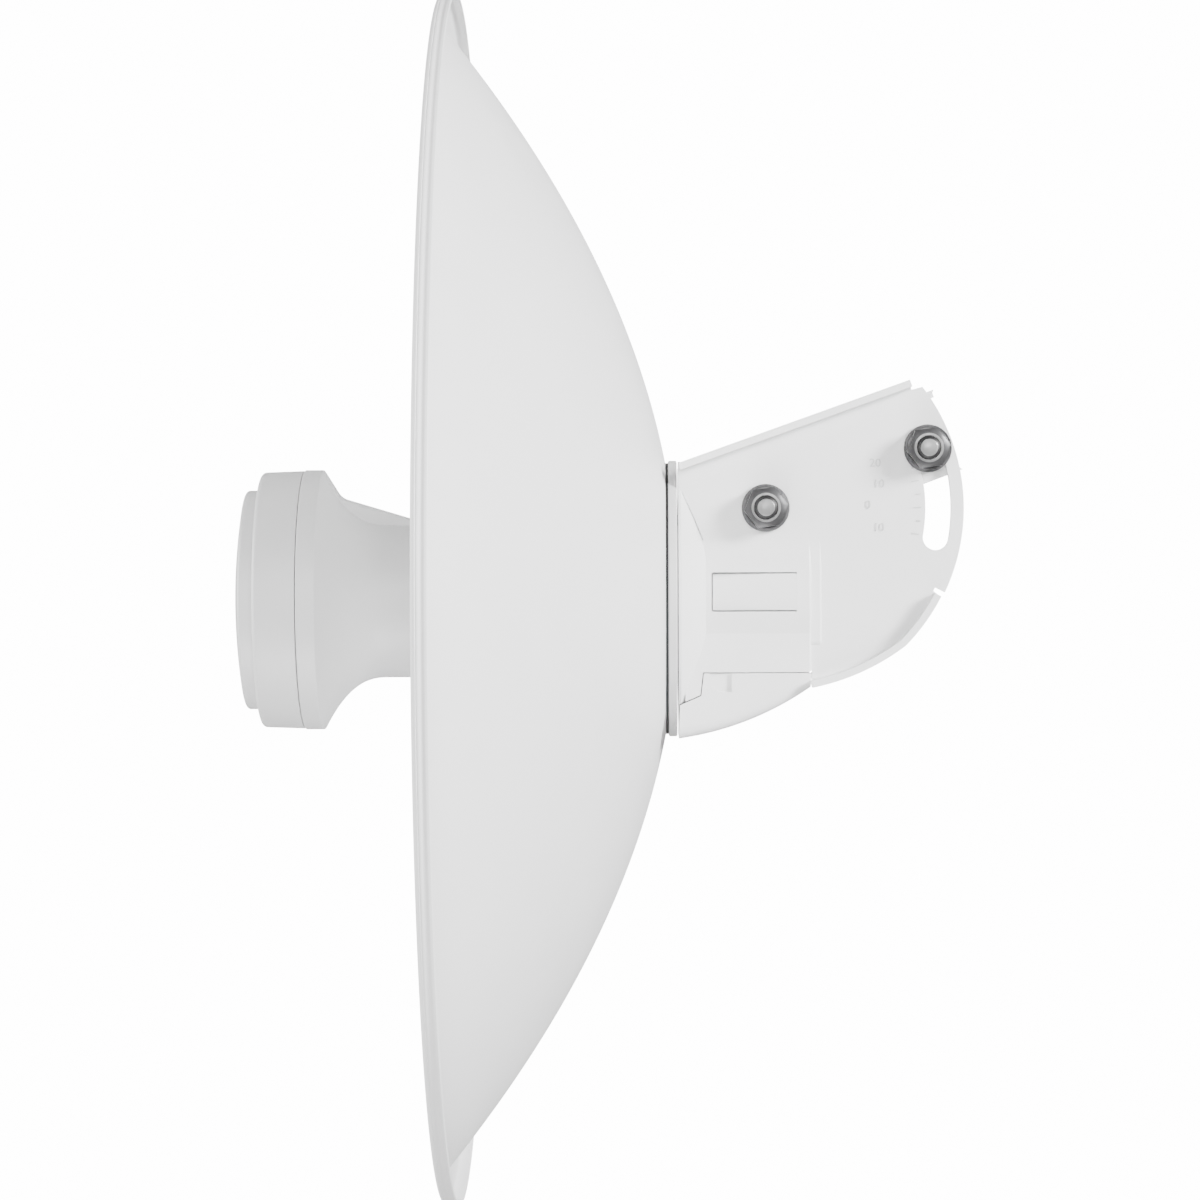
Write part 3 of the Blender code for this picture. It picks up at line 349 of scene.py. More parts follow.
def lathe(name, profile, steps=FINE_STEPS, closed=True, axis=(0, 1, 0)):
    """Solid of revolution from (radius, distance along the axis); an open profile ends on the axis."""
    bm = bmesh.new()
    along = Vector(axis)
    across = Vector((1, 0, 0)) if along.x == 0 else Vector((0, 1, 0))
    verts = [bm.verts.new(across * radius + along * y) for radius, y in profile]
    edges = [bm.edges.new(pair) for pair in zip(verts, verts[1:])]
    if closed:
        edges.append(bm.edges.new((verts[-1], verts[0])))
    bmesh.ops.spin(bm, geom=verts + edges, cent=(0, 0, 0), axis=axis, angle=math.tau,
                   steps=steps, use_merge=True)
    return new_object(name, bm)


def extruded(outline, low, high, axis):
    """A closed outline swept along an axis: (y, z) points along X, (x, z) along Y, (x, y) along Z."""
    lift = {
        "X": lambda a, b, c: (c, a, b),
        "Y": lambda a, b, c: (a, c, b),
        "Z": lambda a, b, c: (a, b, c),
    }[axis]
    bm = bmesh.new()
    base = bm.faces.new([bm.verts.new(lift(a, b, low)) for a, b in outline])
    moved = bmesh.ops.extrude_face_region(bm, geom=[base])["geom"]
    shift = Vector(lift(0, 0, high - low))
    bmesh.ops.translate(bm, vec=shift, verts=[v for v in moved if isinstance(v, bmesh.types.BMVert)])
    return bm


def prism(name, outline, low, high, axis="X"):
    return new_object(name, extruded(outline, low, high, axis))


def box(name, low, high, rounding=0.0):
    bm = bmesh.new()
    size = [b - a for a, b in zip(low, high)]
    middle = [(a + b) / 2 for a, b in zip(low, high)]
    bmesh.ops.create_cube(bm, size=1, matrix=Matrix.Translation(middle) @ Matrix.Diagonal((*size, 1)))
    if rounding:
        bmesh.ops.bevel(bm, geom=list(bm.edges), offset=rounding, segments=3, profile=0.5,
                        affect="EDGES", material=-1)
    return new_object(name, bm)


def rod(name, radius, low, high, centre=(0, 0), axis="Y", steps=64):
    """A cylinder along an axis; its centre is given in the two other axes, in order."""
    return prism(name, arc(centre, radius, 0, 360, steps)[:-1], low, high, axis)


def combine(target, tool, operation):
    """Apply one exact Boolean to a piece and throw the tool away."""
    cut = target.modifiers.new("Boolean", "BOOLEAN")
    cut.operation = operation
    cut.solver = "EXACT"
    cut.object = tool
    result = shown_mesh(target)
    target.modifiers.clear()
    bm = bmesh.new()
    bm.from_mesh(result)
    bmesh.ops.remove_doubles(bm, verts=bm.verts, dist=WELD_DISTANCE)
    bmesh.ops.dissolve_degenerate(bm, edges=bm.edges, dist=WELD_DISTANCE)
    bm.to_mesh(result)
    bm.free()
    old = target.data
    target.data = result
    bpy.data.meshes.remove(old)
    bpy.data.objects.remove(tool, do_unlink=True)
    return target


def join(target, *tools):
    for tool in tools:
        combine(target, tool, "UNION")
    return target


def subtract(target, *tools):
    for tool in tools:
        combine(target, tool, "DIFFERENCE")
    return target


def is_sharp(edge):
    return len(edge.link_faces) == 2 and edge.calc_face_angle(0) > SHARP_ANGLE


def bevel_where(obj, wanted, offset, segments=4):
    """Round the sharp edges that pass a test."""
    bm = bmesh.new()
    bm.from_mesh(obj.data)
    bmesh.ops.dissolve_limit(bm, angle_limit=math.radians(0.2), verts=bm.verts, edges=bm.edges)
    chosen = [e for e in bm.edges if is_sharp(e) and wanted(e)]
    bmesh.ops.bevel(bm, geom=chosen, offset=offset, segments=segments, profile=0.5, affect="EDGES",
                    material=-1, clamp_overlap=True)
    bm.to_mesh(obj.data)
    bm.free()
    return obj


def mirrored(obj, name):
    """The same shape on the -X side."""
    bm = bmesh.new()
    bm.from_mesh(obj.data)
    bmesh.ops.scale(bm, vec=(-1, 1, 1), verts=bm.verts)
    return new_object(name, bm)


def weigh_edges(mesh, kept_sharp):
    """Mark the edges that get rounded: the sharp ones, apart from those that a test keeps crisp."""
    bm = bmesh.new()
    bm.from_mesh(mesh)
    weight = bm.edges.layers.float.new("bevel_weight_edge")
    for edge in bm.edges:
        sharp = is_sharp(edge)
        middle = (edge.verts[0].co + edge.verts[1].co) / 2
        kept = sharp and kept_sharp(middle)
        edge[weight] = 1.0 if sharp and not kept else 0.0
        edge.smooth = not kept
    bm.to_mesh(mesh)
    bm.free()


def finish(piece, look, body, place=HEAD_PLACE, edge=0.0, segments=2, replaced=None,
           kept_sharp=None):
    """Place a finished shape, give it its look and its rounded edges, and attach it to its body's empty."""
    mesh = piece.data
    mesh.shade_smooth()
    if kept_sharp:
        weigh_edges(mesh, kept_sharp)
    elif not edge:
        mesh.set_sharp_from_angle(angle=SHARP_ANGLE)
    mesh.transform(place)
    if not mesh.materials:
        mesh.materials.append(look)
    if edge:
        rounding = piece.modifiers.new("Edges", "BEVEL")
        rounding.width = edge
        rounding.segments = segments
        rounding.limit_method = "WEIGHT" if kept_sharp else "ANGLE"
        rounding.angle_limit = SHARP_ANGLE
        rounding.use_clamp_overlap = True
        rounding.harden_normals = False
        even = piece.modifiers.new("Shading", "WEIGHTED_NORMAL")
        even.keep_sharp = True
        even.weight = 60
    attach(piece, body)
    if replaced:
        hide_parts(replaced)


def two_tone(piece, main, second, takes_second):
    """Give a piece its main finish, and a second one to the faces whose centres pass a test."""
    piece.data.materials.clear()
    piece.data.materials.append(main)
    piece.data.materials.append(second)
    for face in piece.data.polygons:
        face.material_index = 1 if takes_second(face.center) else 0


# ---- finishes

def set_inputs(node, **values):
    """Set a node's inputs by name, with an underscore for each space."""
    for label, value in values.items():
        node.inputs[label.replace("_", " ")].default_value = value
    return node


def new_group(name, output, kind, **inputs):
    """An empty node group: the group, the sockets of what it is given, and the socket of what it gives."""
    group = bpy.data.node_groups.new(name, "ShaderNodeTree")
    for label, value in inputs.items():
        given_kind = "NodeSocketColor" if isinstance(value, tuple) else "NodeSocketFloat"
        group.interface.new_socket(label, in_out="INPUT", socket_type=given_kind).default_value = value
    group.interface.new_socket(output, in_out="OUTPUT", socket_type=kind)
    given, out = group.nodes.new("NodeGroupInput"), group.nodes.new("NodeGroupOutput")
    return group, given.outputs, out.inputs[output]


def object_noise(group, scale_socket, detail, roughness=0.5):
    place = group.nodes.new("ShaderNodeTexCoord")
    noise = set_inputs(group.nodes.new("ShaderNodeTexNoise"), Detail=detail, Roughness=roughness)
    group.links.new(place.outputs["Object"], noise.inputs["Vector"])
    group.links.new(scale_socket, noise.inputs["Scale"])
    return noise.outputs["Fac"]


def spread_noise(group, low, *noise):
    """Noise stretched so that it reaches its two ends at a low level and at 0.7."""
    spread = set_inputs(group.nodes.new("ShaderNodeMapRange"), From_Min=low, From_Max=0.7)
    group.links.new(object_noise(group, *noise), spread.inputs["Value"])
    return spread


def grain_group():
    """Fine relief of a sprayed or moulded skin."""
    group, given, normal = new_group("surface_grain", "Normal", "NodeSocketVector", Scale=1500.0,
                                     Depth=0.00002)
    bump = set_inputs(group.nodes.new("ShaderNodeBump"), Strength=1.0)
    group.links.new(object_noise(group, given["Scale"], 3.0), bump.inputs["Height"])
    group.links.new(given["Depth"], bump.inputs["Distance"])
    group.links.new(bump.outputs["Normal"], normal)
    return group


def tone_group():
    """Slow drift between two tones."""
    group, given, colour = new_group("tone_drift", "Color", "NodeSocketColor", Tone=(0.8, 0.8, 0.8, 1),
                                     Second=(0.7, 0.7, 0.7, 1), Scale=14.0)
    mix = group.nodes.new("ShaderNodeMix")
    mix.data_type = "RGBA"
    spread = spread_noise(group, 0.35, given["Scale"], 5.0, 0.6)
    group.links.new(spread.outputs["Result"], mix.inputs["Factor"])
    group.links.new(given["Tone"], mix.inputs["A"])
    group.links.new(given["Second"], mix.inputs["B"])
    group.links.new(mix.outputs["Result"], colour)
    return group


def gloss_group():
    """Roughness that wanders a little between two values."""
    group, given, roughness = new_group("gloss_drift", "Roughness", "NodeSocketFloat", Low=0.4, High=0.5,
                                        Scale=60.0)
    spread = spread_noise(group, 0.3, given["Scale"], 4.0)
    group.links.new(given["Low"], spread.inputs["To Min"])
    group.links.new(given["High"], spread.inputs["To Max"])
    group.links.new(spread.outputs["Result"], roughness)
    return group


GRAIN = grain_group()
TONE = tone_group()
GLOSS = gloss_group()


def finish_material(name, tone, second, roughness, grain, metallic=0.0, specular=0.5, coat=0.0, drift=14.0,
                    gloss_scale=60.0):
    """A Principled finish: two close tones, a roughness range and a (scale, depth) grain."""
    made = bpy.data.materials.new(name)
    made.use_nodes = True
    tree = made.node_tree
    shader = set_inputs(tree.nodes["Principled BSDF"], Metallic=metallic, Specular_IOR_Level=specular,
                        Coat_Weight=coat)
    for group, output, target, values in (
        (TONE, "Color", "Base Color", {"Tone": (*tone, 1), "Second": (*second, 1), "Scale": drift}),
        (GLOSS, "Roughness", "Roughness", {"Low": roughness[0], "High": roughness[1], "Scale": gloss_scale}),
        (GRAIN, "Normal", "Normal", {"Scale": grain[0], "Depth": grain[1]}),
    ):
        node = tree.nodes.new("ShaderNodeGroup")
        node.node_tree = group
        set_inputs(node, **values)
        tree.links.new(node.outputs[output], shader.inputs[target])
    return made


POWDER_COAT = finish_material("white_powder_coat", (0.80, 0.80, 0.80), (0.775, 0.775, 0.78),
                              (0.40, 0.50), (1100.0, 0.000012), coat=0.05)
# Darker grey for the raised scale marks: painted shade for the shadows of their relief on the white arm
SCALE_MARKS_PAINTED_SHADE = finish_material("scale_marks_painted_shade", (0.56, 0.56, 0.56), (0.52, 0.52, 0.525),
                                (0.45, 0.55), (1100.0, 0.000012))
# Feed plastic a darker grey than the housing's: painted shade for the dish's shadow over the feed
FEED_PLASTIC_PAINTED_SHADE = finish_material("feed_moulding_painted_shade", (0.71, 0.71, 0.71), (0.69, 0.69, 0.695),
                               (0.36, 0.46), (3500.0, 0.000006))
HOUSING_PLASTIC = finish_material("housing_moulding", (0.80, 0.80, 0.80), (0.78, 0.78, 0.785),
                                  (0.38, 0.48), (3000.0, 0.000006))
RING_PLASTIC = finish_material("ring_moulding", (0.57, 0.57, 0.57), (0.55, 0.55, 0.555),
                               (0.40, 0.50), (3000.0, 0.000006))
ZINC = finish_material("zinc_plate", (0.24, 0.24, 0.24), (0.18, 0.18, 0.18), (0.32, 0.46),
                       (2200.0, 0.000015), metallic=0.5, drift=180.0, gloss_scale=400.0)
# Darker copy of the zinc for the nuts' flanks and flanges: painted shade
SHADED_ZINC = finish_material("zinc_plate_painted_shade", (0.070, 0.070, 0.072), (0.045, 0.045, 0.046), (0.30, 0.44),
                              (2200.0, 0.000015), metallic=0.5, drift=180.0, gloss_scale=400.0)
# Near-black for the bolt's thread outside the arm: painted shade in the gap between the nut's bore and the
# bolt
THREAD_PAINTED_SHADE = finish_material("thread_painted_shade", (0.035, 0.035, 0.035), (0.02, 0.02, 0.02), (0.45, 0.6),
                              (2200.0, 0.00001), metallic=0.6, drift=200.0)
RUBBER = finish_material("black_rubber", (0.030, 0.030, 0.031), (0.022, 0.022, 0.022), (0.7, 0.85),
                         (2500.0, 0.00002), specular=0.35)
BLACK_PLASTIC = finish_material("black_moulding", (0.028, 0.028, 0.030), (0.022, 0.022, 0.023),
                                (0.4, 0.5), (3200.0, 0.000008))
ALUMINIUM = finish_material("aluminium_sheet", (0.75, 0.76, 0.77), (0.70, 0.71, 0.72), (0.28, 0.4),
                            (2600.0, 0.00001), metallic=1.0)
BOARD = finish_material("circuit_board", (0.02, 0.13, 0.05), (0.025, 0.16, 0.06), (0.3, 0.4),
                        (1800.0, 0.00001), drift=90.0)
COPPER = finish_material("copper_gilt", (0.80, 0.50, 0.28), (0.72, 0.43, 0.24), (0.22, 0.34),
                         (2600.0, 0.00001), metallic=1.0)

SLOT_FINISHES = {
    "white_metal": POWDER_COAT,
    "white_plastic": HOUSING_PLASTIC,
    "zinc": ZINC,
    "black_rubber": RUBBER,
    "aluminium": ALUMINIUM,
    "circuit_board": BOARD,
    "copper": COPPER,
    "black_plastic": BLACK_PLASTIC,
}


def dress_cad_nodes():
    """Every solid that stays as it is gets the finish of its slot."""
    for part in frame["record"]["subparts"]:
        node = frame["nodes"][part["node"]]
        node.data.materials.clear()
        node.data.materials.append(SLOT_FINISHES[part["material_slot"]])


# ---- dish and hub

def dish_back_y(radius):
    return -(radius**2) / (4 * DISH_FOCAL_LENGTH)


def dish_back_radius(y):
    return math.sqrt(-y * 4 * DISH_FOCAL_LENGTH)


def dish():
    """Spun sheet: flat hub, paraboloid, and a beaded rim that turns back into a lip."""
    hub_edge = dish_back_radius(HUB_FACE_Y)
    flange_back_y = RIM_FRONT_Y + DISH_SHEET
    bowl_edge = dish_back_radius(flange_back_y)
    rings = 56
    radii = [hub_edge + (bowl_edge - hub_edge) * i / rings for i in range(rings + 1)]
    back = [(HUB_BORE_RADIUS, HUB_FACE_Y)] + [(r, dish_back_y(r)) for r in radii]
    front = [(r, y - DISH_SHEET) for r, y in reversed(back)]
    inner_radius = DISH_RADIUS - DISH_SHEET
    bend = 2.2 * MM
    inside = arc((inner_radius - bend, flange_back_y + bend), bend, -90, 0, 8)
    lip_rear_y = RIM_FRONT_Y + RIM_DEPTH
    end = arc((DISH_RADIUS - DISH_SHEET / 2, lip_rear_y - DISH_SHEET / 2), DISH_SHEET / 2, 180, 0, 8)
    bead = []
    bead_steps = 24
    bead_end = RIM_DEPTH - DISH_SHEET / 2
    for i in range(1, bead_steps):
        depth = bead_end + (RIM_ROUNDING - bead_end) * i / bead_steps
        dip = BEAD_HEIGHT / 2 * (1 - math.cos(math.tau * (depth - BEAD_PEAK) / BEAD_PITCH))
        bead.append((DISH_RADIUS - dip, RIM_FRONT_Y + depth))
    outside = arc((DISH_RADIUS - RIM_ROUNDING, RIM_FRONT_Y + RIM_ROUNDING), RIM_ROUNDING, 0, -90, 8)
    piece = lathe("dish_sheet", back + inside + end + bead + outside + front, steps=256)
    finish(piece, POWDER_COAT, "head", replaced="dish_reflector")


def ring():
    """Round plate behind the dish, with a seat for the gasket and a lip around it."""
    seat_y = HUB_FACE_Y + 1.5 * MM
    seat_radius = GASKET_OUTER + GAP
    corners = [
        (HUB_BORE_RADIUS, RING_REAR_Y), (RING_RADIUS, RING_REAR_Y), (RING_RADIUS, RING_FRONT_Y),
        (seat_radius, RING_FRONT_Y), (seat_radius, seat_y), (HUB_BORE_RADIUS, seat_y),
    ]
    radii = [0.3 * MM, 0.6 * MM, 0.6 * MM, 0.2 * MM, 0, 0.3 * MM]
    finish(lathe("hub_ring", filleted(corners, radii)), RING_PLASTIC, "head",
           replaced="ring_plate")


def hub_screw_places():
    """Places of the hub's screws as (x, z)."""
    turns = [math.tau * (i + 0.5) / HUB_SCREW_COUNT for i in range(HUB_SCREW_COUNT)]
    return [(HUB_SCREW_CIRCLE * math.cos(turn), HUB_SCREW_CIRCLE * math.sin(turn)) for turn in turns]


def gasket():
    """Rubber ring that fills the joint: thick in the ring's seat, thin under its lip, shaped to the dish; the
    black of its thin lip under the ring's edge is also painted shade for the gap there.
    """
    inner_radius = HUB_BORE_RADIUS + MM
    hub_edge = dish_back_radius(HUB_FACE_Y)
    lip_y = RING_FRONT_Y - 0.02 * MM
    piece = lathe("joint_gasket_and_gap_shade", [
        (inner_radius, GASKET_REAR_Y), (GASKET_OUTER, GASKET_REAR_Y), (GASKET_OUTER, lip_y),
        (GASKET_LIP_RADIUS, lip_y), (GASKET_LIP_RADIUS, dish_back_y(GASKET_LIP_RADIUS)),
        (hub_edge, HUB_FACE_Y), (inner_radius, HUB_FACE_Y),
    ])
    for centre in hub_screw_places():
        subtract(piece, rod("drill", 2.2 * MM, -6 * MM, MM, centre, steps=32))
    finish(piece, RUBBER, "head", replaced="hub_gasket")


def hub_screws():
    """Pan heads with a cross recess."""
    radius, height = 3.6 * MM, 2.4 * MM
    shank_radius, shank_end = 1.9 * MM, 7.9 * MM
    arm, half = 1.9 * MM, 0.45 * MM
    for i, (x, z) in enumerate(hub_screw_places()):
        centre = Vector((x, HUB_FACE_Y - DISH_SHEET - GAP, z))
        head = [(0, -height), (radius * 0.45, -height * 0.98), (radius * 0.8, -height * 0.8),
                (radius * 0.96, -height * 0.45), (radius, -height * 0.12), (radius * 0.97, 0)]
        shank = [(shank_radius, 0), (shank_radius, shank_end), (0, shank_end)]
        screw = lathe(f"screw_{i + 1}", list(reversed(head + shank)), steps=48, closed=False)
        for size_x, size_z in ((arm, half), (half, arm)):
            subtract(screw, box("recess", (-size_x, -height - MM, -size_z), (size_x, -height * 0.35, size_z)))
        finish(screw, ZINC, "head", place=HEAD_PLACE @ Matrix.Translation(centre),
               replaced=f"hub_screw_{i + 1}")


# ---- rear housing

def flare_radius(y):
    along = (y - FLARE_EDGE_Y) / (FLARE_REAR_Y - FLARE_EDGE_Y)
    return FLARE_FRONT_RADIUS + (FLARE_REAR_RADIUS - FLARE_FRONT_RADIUS) * along


def barrel_section():
    """Half outline of the barrel square to Y: up the +X side, over the bulge and out along the arm."""
    bulge = arc((0, 0), BARREL_BULGE, -13, 22, 16)
    x, z = bulge[-1]
    rise = SHOULDER_TOP_Z - z
    slope = math.tan(math.radians(22))
    shoulder = []
    for i in range(1, 9):
        up = rise * i / 8
        shoulder.append((x - slope * up + slope * up**2 / (2 * rise), z + up))
    half = [(BARREL_HALF_WIDTH, SEAM_Z), (BARREL_HALF_WIDTH, -12 * MM)] + bulge + shoulder
    return filleted(half, [0, 2 * MM] + [0] * (len(half) - 2), closed=False) + [
        (ARM_ROOT_X, SHOULDER_TOP_Z), (ARM_ROOT_X, BARREL_TOP_Z),
    ]


def collar_section():
    """Half outline of the collar, which thins out along the arm at its top."""
    top = SHOULDER_TOP_Z - 0.5 * MM
    spare = COLLAR_HALF_WIDTH - ARM_OUTER_X - 0.05 * MM
    fade = [
        (COLLAR_HALF_WIDTH - spare * (1 - math.cos(math.pi * i / 10)) / 2,
         COLLAR_FADE_Z + (top - COLLAR_FADE_Z) * i / 10)
        for i in range(11)
    ]
    low = filleted([(0, COLLAR_BOTTOM_Z), (COLLAR_HALF_WIDTH, COLLAR_BOTTOM_Z), fade[0]], [0, 1.5 * MM, 0],
                   closed=False)
    return low[1:-1] + fade + [(ARM_ROOT_X, top), (ARM_ROOT_X, COLLAR_TOP_Z)]


def whole_section(half):
    return half + [(-x, z) for x, z in reversed(half)]


def seam_cutter():
    """Everything below the stepped joint between the housing and the port cover."""
    outline = [(PAST_ALL, SEAM_Z), *SEAM_STEP, (-0.5 * MM, -PAST_ALL), (PAST_ALL, -PAST_ALL)]
    return prism("cover_side", outline, -PAST_ALL, PAST_ALL)


def housing():
    """Flared base, barrel with an open bottom, and the collar at its rear end."""
    steps = 8
    flare = [
        (FLARE_FRONT_RADIUS + (FLARE_REAR_RADIUS - FLARE_FRONT_RADIUS) * (i / steps) ** 0.93,
         FLARE_EDGE_Y + (FLARE_REAR_Y - FLARE_EDGE_Y) * i / steps)
        for i in range(steps + 1)
    ]
    body = lathe("housing_shell", [(0, HOUSING_FRONT_Y), (FLARE_FRONT_RADIUS, HOUSING_FRONT_Y)] + flare
                 + [(0, FLARE_REAR_Y)], closed=False, steps=128)
    barrel = prism("barrel", whole_section(barrel_section()), 2 * MM, BARREL_REAR_Y, "Y")
    collar = prism("collar", whole_section(collar_section()), BARREL_REAR_Y - 2 * MM, COLLAR_REAR_Y, "Y")
    for block, rear_y in ((barrel, BARREL_REAR_Y), (collar, COLLAR_REAR_Y)):
        bevel_where(block, lambda e: all(abs(v.co.y - rear_y) < 0.01 * MM for v in e.verts),
                    REAR_EDGE_ROUNDING)
    lug = box("lug", (-BARREL_HALF_WIDTH, LUG_FRONT_Y, LUG_BOTTOM_Z),
              (BARREL_HALF_WIDTH, LUG_REAR_Y, SEAM_Z + MM))
    combine(lug, rod("lug_limit", FLARE_FRONT_RADIUS, -5 * MM, PAST_ALL, steps=160), "INTERSECT")
    join(body, barrel, collar, lug)
    cavity_x = BARREL_HALF_WIDTH - WALL - 0.3 * MM
    cavity = box("cavity", (-cavity_x, CAVITY_FRONT_Y, -PAST_ALL),
                 (cavity_x, CAVITY_REAR_Y, BARREL_TOP_Z - WALL))
    bore = rod("bore", HUB_BORE_RADIUS, -5 * MM, CAVITY_FRONT_Y + MM, steps=96)
    low = TAB_BOTTOM_Z - TAB_CLEARANCE
    high = TAB_TOP_Z + TAB_CLEARANCE
    window = rectangle(TAB_FRONT_Y - TAB_CLEARANCE, low, TAB_REAR_Y, high)
    windows = prism("windows", filleted(window, [0.8 * MM, 0, 0, 0.8 * MM]), -PAST_ALL, PAST_ALL)
    subtract(body, cavity, bore, seam_cutter(), windows)

    def at_tab_root(point):
        return abs(point.y - TAB_REAR_Y) < 0.1 * MM and TAB_BOTTOM_Z - MM < point.z < TAB_TOP_Z + MM

    finish(body, HOUSING_PLASTIC, "head", edge=0.3 * MM, segments=3,
           replaced="rear_housing", kept_sharp=at_tab_root)


def release_tabs():
    """Tongue cut from the barrel's bulge: flush at its root at the rear, dipping inwards at its nose."""
    low = math.degrees(math.asin(TAB_BOTTOM_Z / BARREL_BULGE))
    high = math.degrees(math.asin(TAB_TOP_Z / BARREL_BULGE))
    inner_x = BARREL_BULGE - 2.6 * MM
    section = arc((0, 0), BARREL_BULGE, low, high, 8) + [(inner_x, TAB_TOP_Z), (inner_x, TAB_BOTTOM_Z)]
    rear_y = TAB_REAR_Y - 0.04 * MM
    tab = prism("tab_right", section, TAB_FRONT_Y, rear_y, "Y")
    lean = TAB_DIP / (rear_y - TAB_FRONT_Y)
    tab.data.transform(Matrix(((1, lean, 0, -lean * rear_y), (0, 1, 0, 0), (0, 0, 1, 0), (0, 0, 0, 1))))
    left = mirrored(tab, "tab_left")
    for piece, side in ((tab, "right"), (left, "left")):
        finish(piece, HOUSING_PLASTIC, f"release_tab_{side}", edge=0.25 * MM,
               replaced=f"release_tab_{side}", kept_sharp=lambda point: point.y > rear_y - 0.1 * MM)


# ---- yoke arms

def arm_polar(radius, degrees):
    angle = math.radians(degrees)
    return PIVOT_Y + radius * math.cos(angle), PIVOT_Z + radius * math.sin(angle)


def lock_arm_lower_edge():
    rear = arc((PIVOT_Y, PIVOT_Z), ARM_FOOT_RADIUS, *ARM_FOOT_ANGLES, 16)
    return rear + arc_through(ARM_FOOT, rear[-1], ARM_FOOT_CURVE, 20)[-2::-1]


def short_arm_lower_edge():
    rear = arm_polar(SHORT_ARM_RADIUS, SHORT_ARM_ANGLES[1])
    return arc_through(SHORT_ARM_FOOT, rear, ARM_FOOT_CURVE, 20)[::-1]


def lock_arm_rear():
    """Rear edge of the arm with the slot, between its two relief notches."""
    return [
        ARM_TOP_REAR,
        ARM_TOP_NOTCH,
        *arc((PIVOT_Y, PIVOT_Z), ARM_REAR_RADIUS, *ARM_REAR_ANGLES, 64),
        *[arm_polar(ARM_LOWER_NOTCH_RADIUS, degrees) for degrees in ARM_LOWER_NOTCH_ANGLES],
    ]


def short_arm_rear():
    """Rear edge of the arm that only carries the pivot, from the top edge down."""
    return arc((PIVOT_Y, PIVOT_Z), SHORT_ARM_RADIUS, *SHORT_ARM_ANGLES, 48)[:-1]


def arm_outline(rear, lower_edge):
    """Side view of an arm, clockwise from its top front corner; its root runs inside the housing."""
    flare = []
    for i in range(9):
        y = FLARE_EDGE_Y + (FLARE_REAR_Y - MM - FLARE_EDGE_Y) * (8 - i) / 8
        flare.append((y, math.sqrt((flare_radius(y) - 1.5 * MM) ** 2 - ARM_INNER_X**2)))
    return [
        ARM_TOP_FRONT,
        *rear,
        *lower_edge,
        (lower_edge[-1][0], SEAM_Z + 0.5 * MM),
        (ARM_ROOT_Y, SEAM_Z + 0.5 * MM),
        (ARM_ROOT_Y, ARM_ROOT_Z),
        (flare[0][0], ARM_ROOT_Z),
        *flare,
        (ARM_TOP_FRONT[0], flare[-1][1]),
    ]


def strip(path, thickness):
    """A band that lies inside a path of (y, z) points, on its right-hand side."""
    inner = []
    for i, point in enumerate(path):
        before = Vector(path[max(i - 1, 0)])
        after = Vector(path[min(i + 1, len(path) - 1)])
        along = (after - before).normalized()
        inner.append((point[0] + along.y * thickness, point[1] - along.x * thickness))
    return path + inner[::-1]


def near_path(point, path, tolerance):
    for a, b in zip(path, path[1:]):
        start, way = Vector(a), Vector(b) - Vector(a)
        share = min(max((Vector(point) - start).dot(way) / way.length_squared, 0), 1)
        if (start + way * share - Vector(point)).length < tolerance:
            return True
    return False


def yoke_arm(name, rear, lower_edge):
    """Sheet arm with bent flanges along its top and its lower edge and a hole for the pivot."""
    arm = prism(name, arm_outline(rear, lower_edge), ARM_INNER_X, ARM_OUTER_X)
    top_path = [ARM_TOP_FRONT, rear[0]]
    bands = [strip(top_path, ARM_SHEET), strip(lower_edge, ARM_SHEET)]
    join(arm, *[prism("flange", band, ARM_INNER_X, ARM_FLANGE_X) for band in bands])
    subtract(arm, rod("hole", BOLT_HOLE_RADIUS, ARM_INNER_X - MM, ARM_OUTER_X + MM, (PIVOT_Y, PIVOT_Z), "X"))
    outer_lines = [top_path, lower_edge]
    inner_lines = [band[len(band) // 2:] for band in bands]

    def on_bend(edge, lines, x):
        return all(
            abs(v.co.x - x) < 0.01 * MM
            and any(near_path((v.co.y, v.co.z), line, 0.02 * MM) for line in lines)
            for v in edge.verts
        )

    bevel_where(arm, lambda e: on_bend(e, outer_lines, ARM_INNER_X), 1.9 * MM, 6)
    bevel_where(arm, lambda e: on_bend(e, inner_lines, ARM_OUTER_X), 0.9 * MM, 4)
    return arm


def arc_slot():
    """Cutter for the slot that the lock bolt runs in."""
    start, stop = math.degrees(TILT_AT_REST), math.degrees(TILT_AT_STOP)
    centre = (PIVOT_Y, PIVOT_Z)
    outline = (
        arc(centre, SLOT_RADIUS + BOLT_HOLE_RADIUS, start, stop, 32)
        + arc(arm_polar(SLOT_RADIUS, stop), BOLT_HOLE_RADIUS, stop, stop - 180, 24)[1:-1]
        + arc(centre, SLOT_RADIUS - BOLT_HOLE_RADIUS, stop, start, 32)
        + arc(arm_polar(SLOT_RADIUS, start), BOLT_HOLE_RADIUS, start + 180, start, 24)[1:-1]
    )
    return prism("slot", outline, ARM_INNER_X - MM, ARM_OUTER_X + MM)


def yoke_arms():
    """The arm with the arc slot on the +X side, and the short arm on the other."""
    lock_arm = subtract(yoke_arm("arm_right", lock_arm_rear(), lock_arm_lower_edge()), arc_slot())
    short_arm = yoke_arm("short_arm", short_arm_rear(), short_arm_lower_edge())
    left = mirrored(short_arm, "arm_left")
    bpy.data.objects.remove(short_arm, do_unlink=True)
    for piece, side in ((lock_arm, "right"), (left, "left")):
        finish(piece, POWDER_COAT, "head", edge=0.3 * MM, replaced=f"yoke_arm_{side}")


